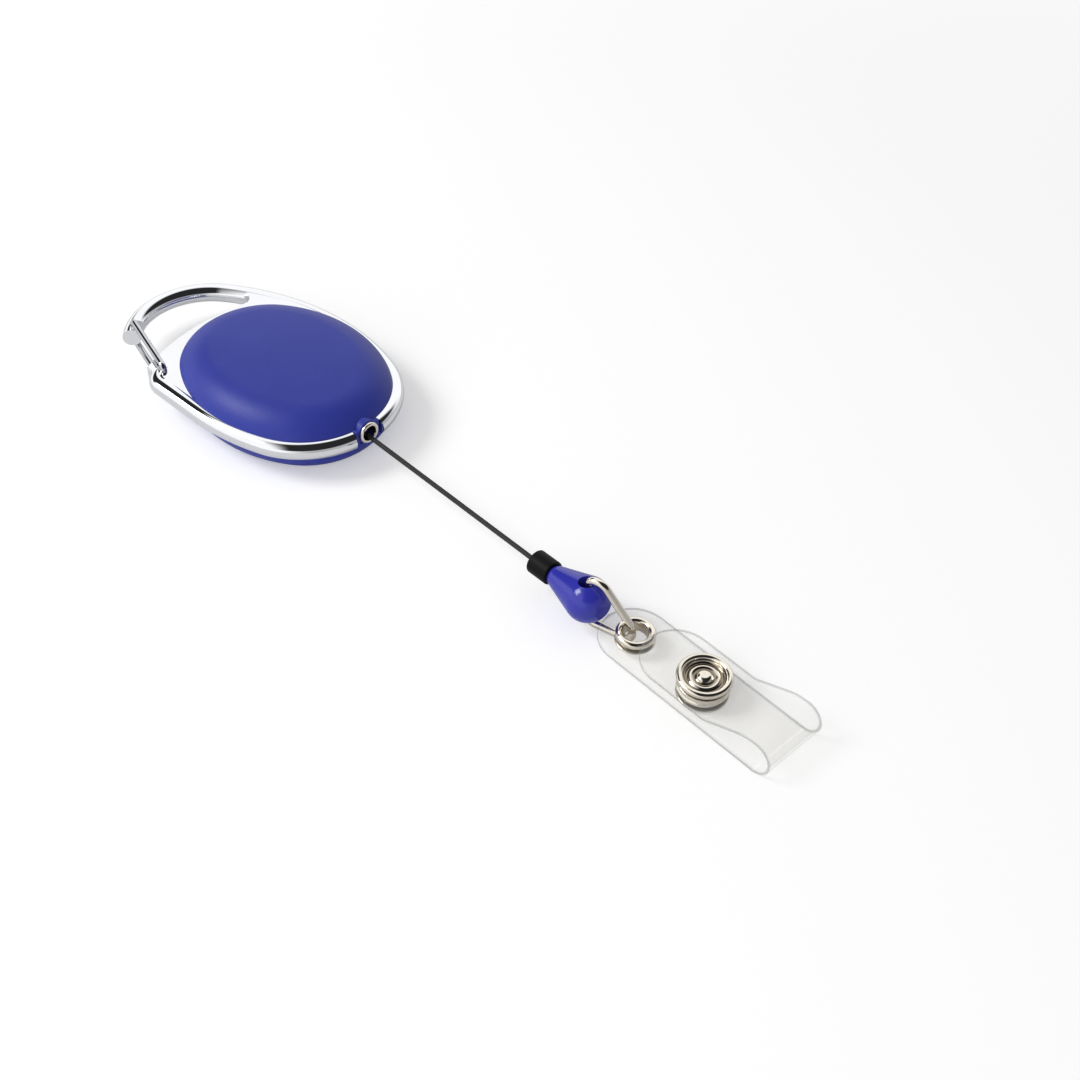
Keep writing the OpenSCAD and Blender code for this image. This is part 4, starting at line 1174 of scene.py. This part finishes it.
# %% [markdown]
# ## The snap
# The snap is four pressings. A post comes up through the lower layer and holds a stud on it. A socket
# under the flap springs over the stud, and a cap above the flap holds the socket. Their profiles are
# drawn round one axis at the heights they have when the snap is shut, so they fit by themselves.

# %% Post, stud and socket
SNAP = on_strap(SNAP_X)
post = ring_profile(
    [(1.2, -0.5), (4.4, -0.5), (4.4, 0.0), (1.5, 0.0), (1.5, 1.5), (1.2, 1.5)],
    [0.1, 0.24, 0.24, 0.05, 0.1, 0.1])
stud = ring_profile(
    [(1.55, 0.5), (4.1, 0.5), (4.1, 0.9), (1.85, 0.9), (1.85, 1.1), (2.1, 1.35), (2.1, 1.75),
     (1.8, 2.1), (1.55, 2.1)],
    [0.03, 0.15, 0.15, 0.05, 0.05, 0.1, 0.15, 0.15, 0.03])
socket = ring_profile(
    [(2.6, 1.0), (4.35, 1.0), (4.45, 1.37), (4.15, 1.75), (4.4, 2.1), (4.35, 2.5), (1.6, 2.5),
     (1.6, 2.2), (2.6, 2.2)],
    [0.1, 0.2, 0.2, 0.15, 0.2, 0.2, 0.05, 0.05, 0.1])
turned_piece("snap_base", post, SNAP, "strap", "snap_post", nickel)
turned_piece("snap_knob", stud, SNAP, "strap", "snap_stud", nickel)
turned_piece("snap_cup", socket, SNAP, "flap", "snap_socket", nickel, segments=128)

# %% [markdown]
# ## The snap's cap
# The cap is what shows: a rolled rim, a dish with a step in it, and a nipple in the middle where its
# tube was closed. The two channels of the dish get painted shade: the mesh marks how deep in a channel
# each point lies, and the nickel finish darkens by that mark. Painting it on would need a UV map.

# %% Cap
CHANNELS, DISH_Z = ((1.7, 0.45), (3.05, 0.5)), 3.12
nipple = [(0.0, 3.93), (0.25, 3.94), (0.5, 3.99), (0.75, 3.97), (1.0, 3.88), (1.2, 3.73), (1.36, 3.52)]
inner_channel = [(1.5, 3.36), (1.7, 3.29), (1.9, 3.33), (2.1, 3.43), (2.3, 3.47), (2.5, 3.44)]
outer_channel = [(2.66, 3.3), (2.82, 3.18), (3.05, 3.15), (3.26, 3.26), (3.4, 3.46)]
tube_below = [(3.9, 3.0), (1.5, 3.0), (1.5, 2.2), (1.2, 2.2), (1.2, 3.1), (0.0, 3.1)]
cap = np.vstack([nipple, inner_channel, outer_channel, arc((4.1, 3.6), 0.6, 175, -85, 30), tube_below])
cap_mesh = turned_mesh("snap_top", cap, SNAP, 128)


def channel_depth(point):
    """How deep in a channel of the dish a point lies, 0 to 1."""
    out = math.hypot(point.x, point.y)
    depth = max(1 - abs(out - middle) / half for middle, half in CHANNELS)
    return math.sqrt(max(depth, 0.0)) if point.z > DISH_Z else 0.0


to_snap = SNAP.inverted()
# How deep in a channel a point lies is stored as its amount of painted shade.
painted_shade = [channel_depth(to_snap @ v.co / MM) for v in cap_mesh.vertices]
cap_mesh.attributes.new("painted_shade", "FLOAT", "POINT").data.foreach_set("value", painted_shade)
add_piece("snap_top", cap_mesh, "flap", ["snap_cap"], nickel)

# %% [markdown]
# ## Inside the case
# The drum, its lid, the arbor and the spring do the work: the cord winds on the drum, and the spring
# inside the drum turns it back. They stay as the CAD made them, because a closed case hides them and
# their shapes are already exact. They still get true finishes, so that a cut-away view is right.

# %% Inner pieces
INSIDE = {
    "cord_drum": acetal, "drum_lid": acetal, "spring_arbor": turned_steel, "mainspring": blued_strip}
for node, material in INSIDE.items():
    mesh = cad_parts[node].data
    mesh.materials.clear()
    mesh.materials.append(material)
print("inner pieces:", list(INSIDE))

# %% [markdown]
# ## The floor
# The reel lies on a white table in front of a white backdrop. Lighting a floor until it is white would
# burn out the object too. So the floor is a plain matt white that takes the soft shadow, with a little
# light of its own for what looks at it straight, through the vinyl or in a mirror. That light grows with
# the distance from the reel, so the floor runs out into the backdrop with no line.

# %% Floor
FLOOR_HALF, FLOOR_MIDDLE = 3, 0.043
NEAR_LIFT, FAR_LIFT, MIRROR_LIFT = 0.37, 0.35, 0.05


def white_table():
    finish = Finish("white_table")
    rays = finish.node("ShaderNodeLightPath")
    seen, mirrored = rays.output("Is Camera Ray"), rays.output("Is Glossy Ray")
    through = rays.output("Is Transmission Ray")
    distance = finish.node("ShaderNodeVectorMath", {"operation": "LENGTH"}, {
        0: finish.place(Location=(-FLOOR_MIDDLE, 0, 0))}, out="Value")
    away = finish.rise(distance, 0.15, 0.6)
    glow = (seen + through) * (NEAR_LIFT + FAR_LIFT * away) + mirrored * MIRROR_LIFT
    paper = finish.node("ShaderNodeBsdfDiffuse", None, {"Color": (0.86, 0.86, 0.86, 1)})
    lift = finish.node("ShaderNodeEmission", None, {"Color": finish.between(glow, (0, 0, 0), (1, 1, 1))})
    return finish.show(finish.node("ShaderNodeAddShader", None, {0: paper, 1: lift}))


corners = [(x * FLOOR_HALF, y * FLOOR_HALF, 0) for x, y in ((-1, -1), (1, -1), (1, 1), (-1, 1))]
floor_mesh = bpy.data.meshes.new("floor")
floor_mesh.from_pydata(corners, [], [(0, 1, 2, 3)])
floor_mesh.materials.append(white_table())
floor = in_scene("floor", floor_mesh)
print("floor finish:", floor_mesh.materials[0].name)

# %% [markdown]
# ## The room
# Chrome has no colour of its own: it shows the room. In an all white room it would vanish, so a
# photographer hangs dark cloth where a streak should run along the metal. Here the world does that for
# reflections only: white walls, greyer on the side that the cord leaves, a dark opening overhead on the
# near right, and a dark doorway at the left. Matt surfaces get an even fill, and the camera sees white.


# %% Room
def white_room():
    room = Finish("white_room", "worlds")
    way = room.node("ShaderNodeTexCoord", out="Generated")
    x = room.node("ShaderNodeSeparateXYZ", None, {0: way})
    y, z = x.output("Y"), x.output("Z")
    rays = room.node("ShaderNodeLightPath")

    wall = room.between(room.rise(x * 0.98 + y * 0.17, 0.1, 0.7), (1, 1, 1), (0.42, 0.42, 0.43))
    right = room.rise(x * 0.75 + y * 0.66, -0.55, -0.22)
    near = room.rise(x * 0.90 - y * 0.43, -0.40, -0.15)
    overhead = room.rise(z, 0.34, 0.48) * right * near
    aside = y / x
    doorway = room.rise(aside, -0.48, -0.34) * (1 - room.rise(aside, 0.46, 0.62))
    doorway *= room.rise(z, 0.27, 0.36) * (1 - room.rise(z, 0.76, 0.80))
    doorway *= room.rise(x * -1, 0.3, 0.5)
    mirror_view = room.between(overhead + doorway, wall, (0.02, 0.02, 0.021))

    fill, backdrop = (0.33, 0.33, 0.33), (0.87, 0.87, 0.87)
    plain = room.between(rays.output("Is Camera Ray"), fill, backdrop)
    colour = room.between(rays.output("Is Glossy Ray"), plain, mirror_view)
    return room.show(room.node("ShaderNodeBackground", None, {"Color": colour, "Strength": 1.15}))


bpy.context.scene.world = white_room()
print("world:", bpy.context.scene.world.name)

# %% [markdown]
# ## The lamps
# One large soft lamp, high on the left, throws the shadow to the right, and a weaker one at the front
# opens the shadows on the near side. A sun would throw a hard shadow; a square of light gives the soft
# edge that a table top set has. The weak lamp is hidden from reflections, so that it draws no second
# square on the metal.


# %% Lamps
def soft_lamp(name, eye, target, size, watts):
    data = bpy.data.lights.new(name, "AREA")
    data.shape, data.size, data.energy = "SQUARE", size, watts
    lamp = in_scene(name, data)
    lamp.location, lamp.rotation_euler = eye, aim(eye, target).to_euler()
    return lamp


key = soft_lamp("key", eye=(-0.40, -0.42, 0.62), target=(0.05, 0, 0), size=0.35, watts=3.4)
fill = soft_lamp("fill", eye=(0.22, -0.62, 0.28), target=(0.03, 0, 0), size=0.5, watts=0.9)
fill.visible_glossy = False
bpy.context.scene.view_settings.view_transform = "Standard"
print("lamps:", [lamp.name for lamp in (key, fill)])
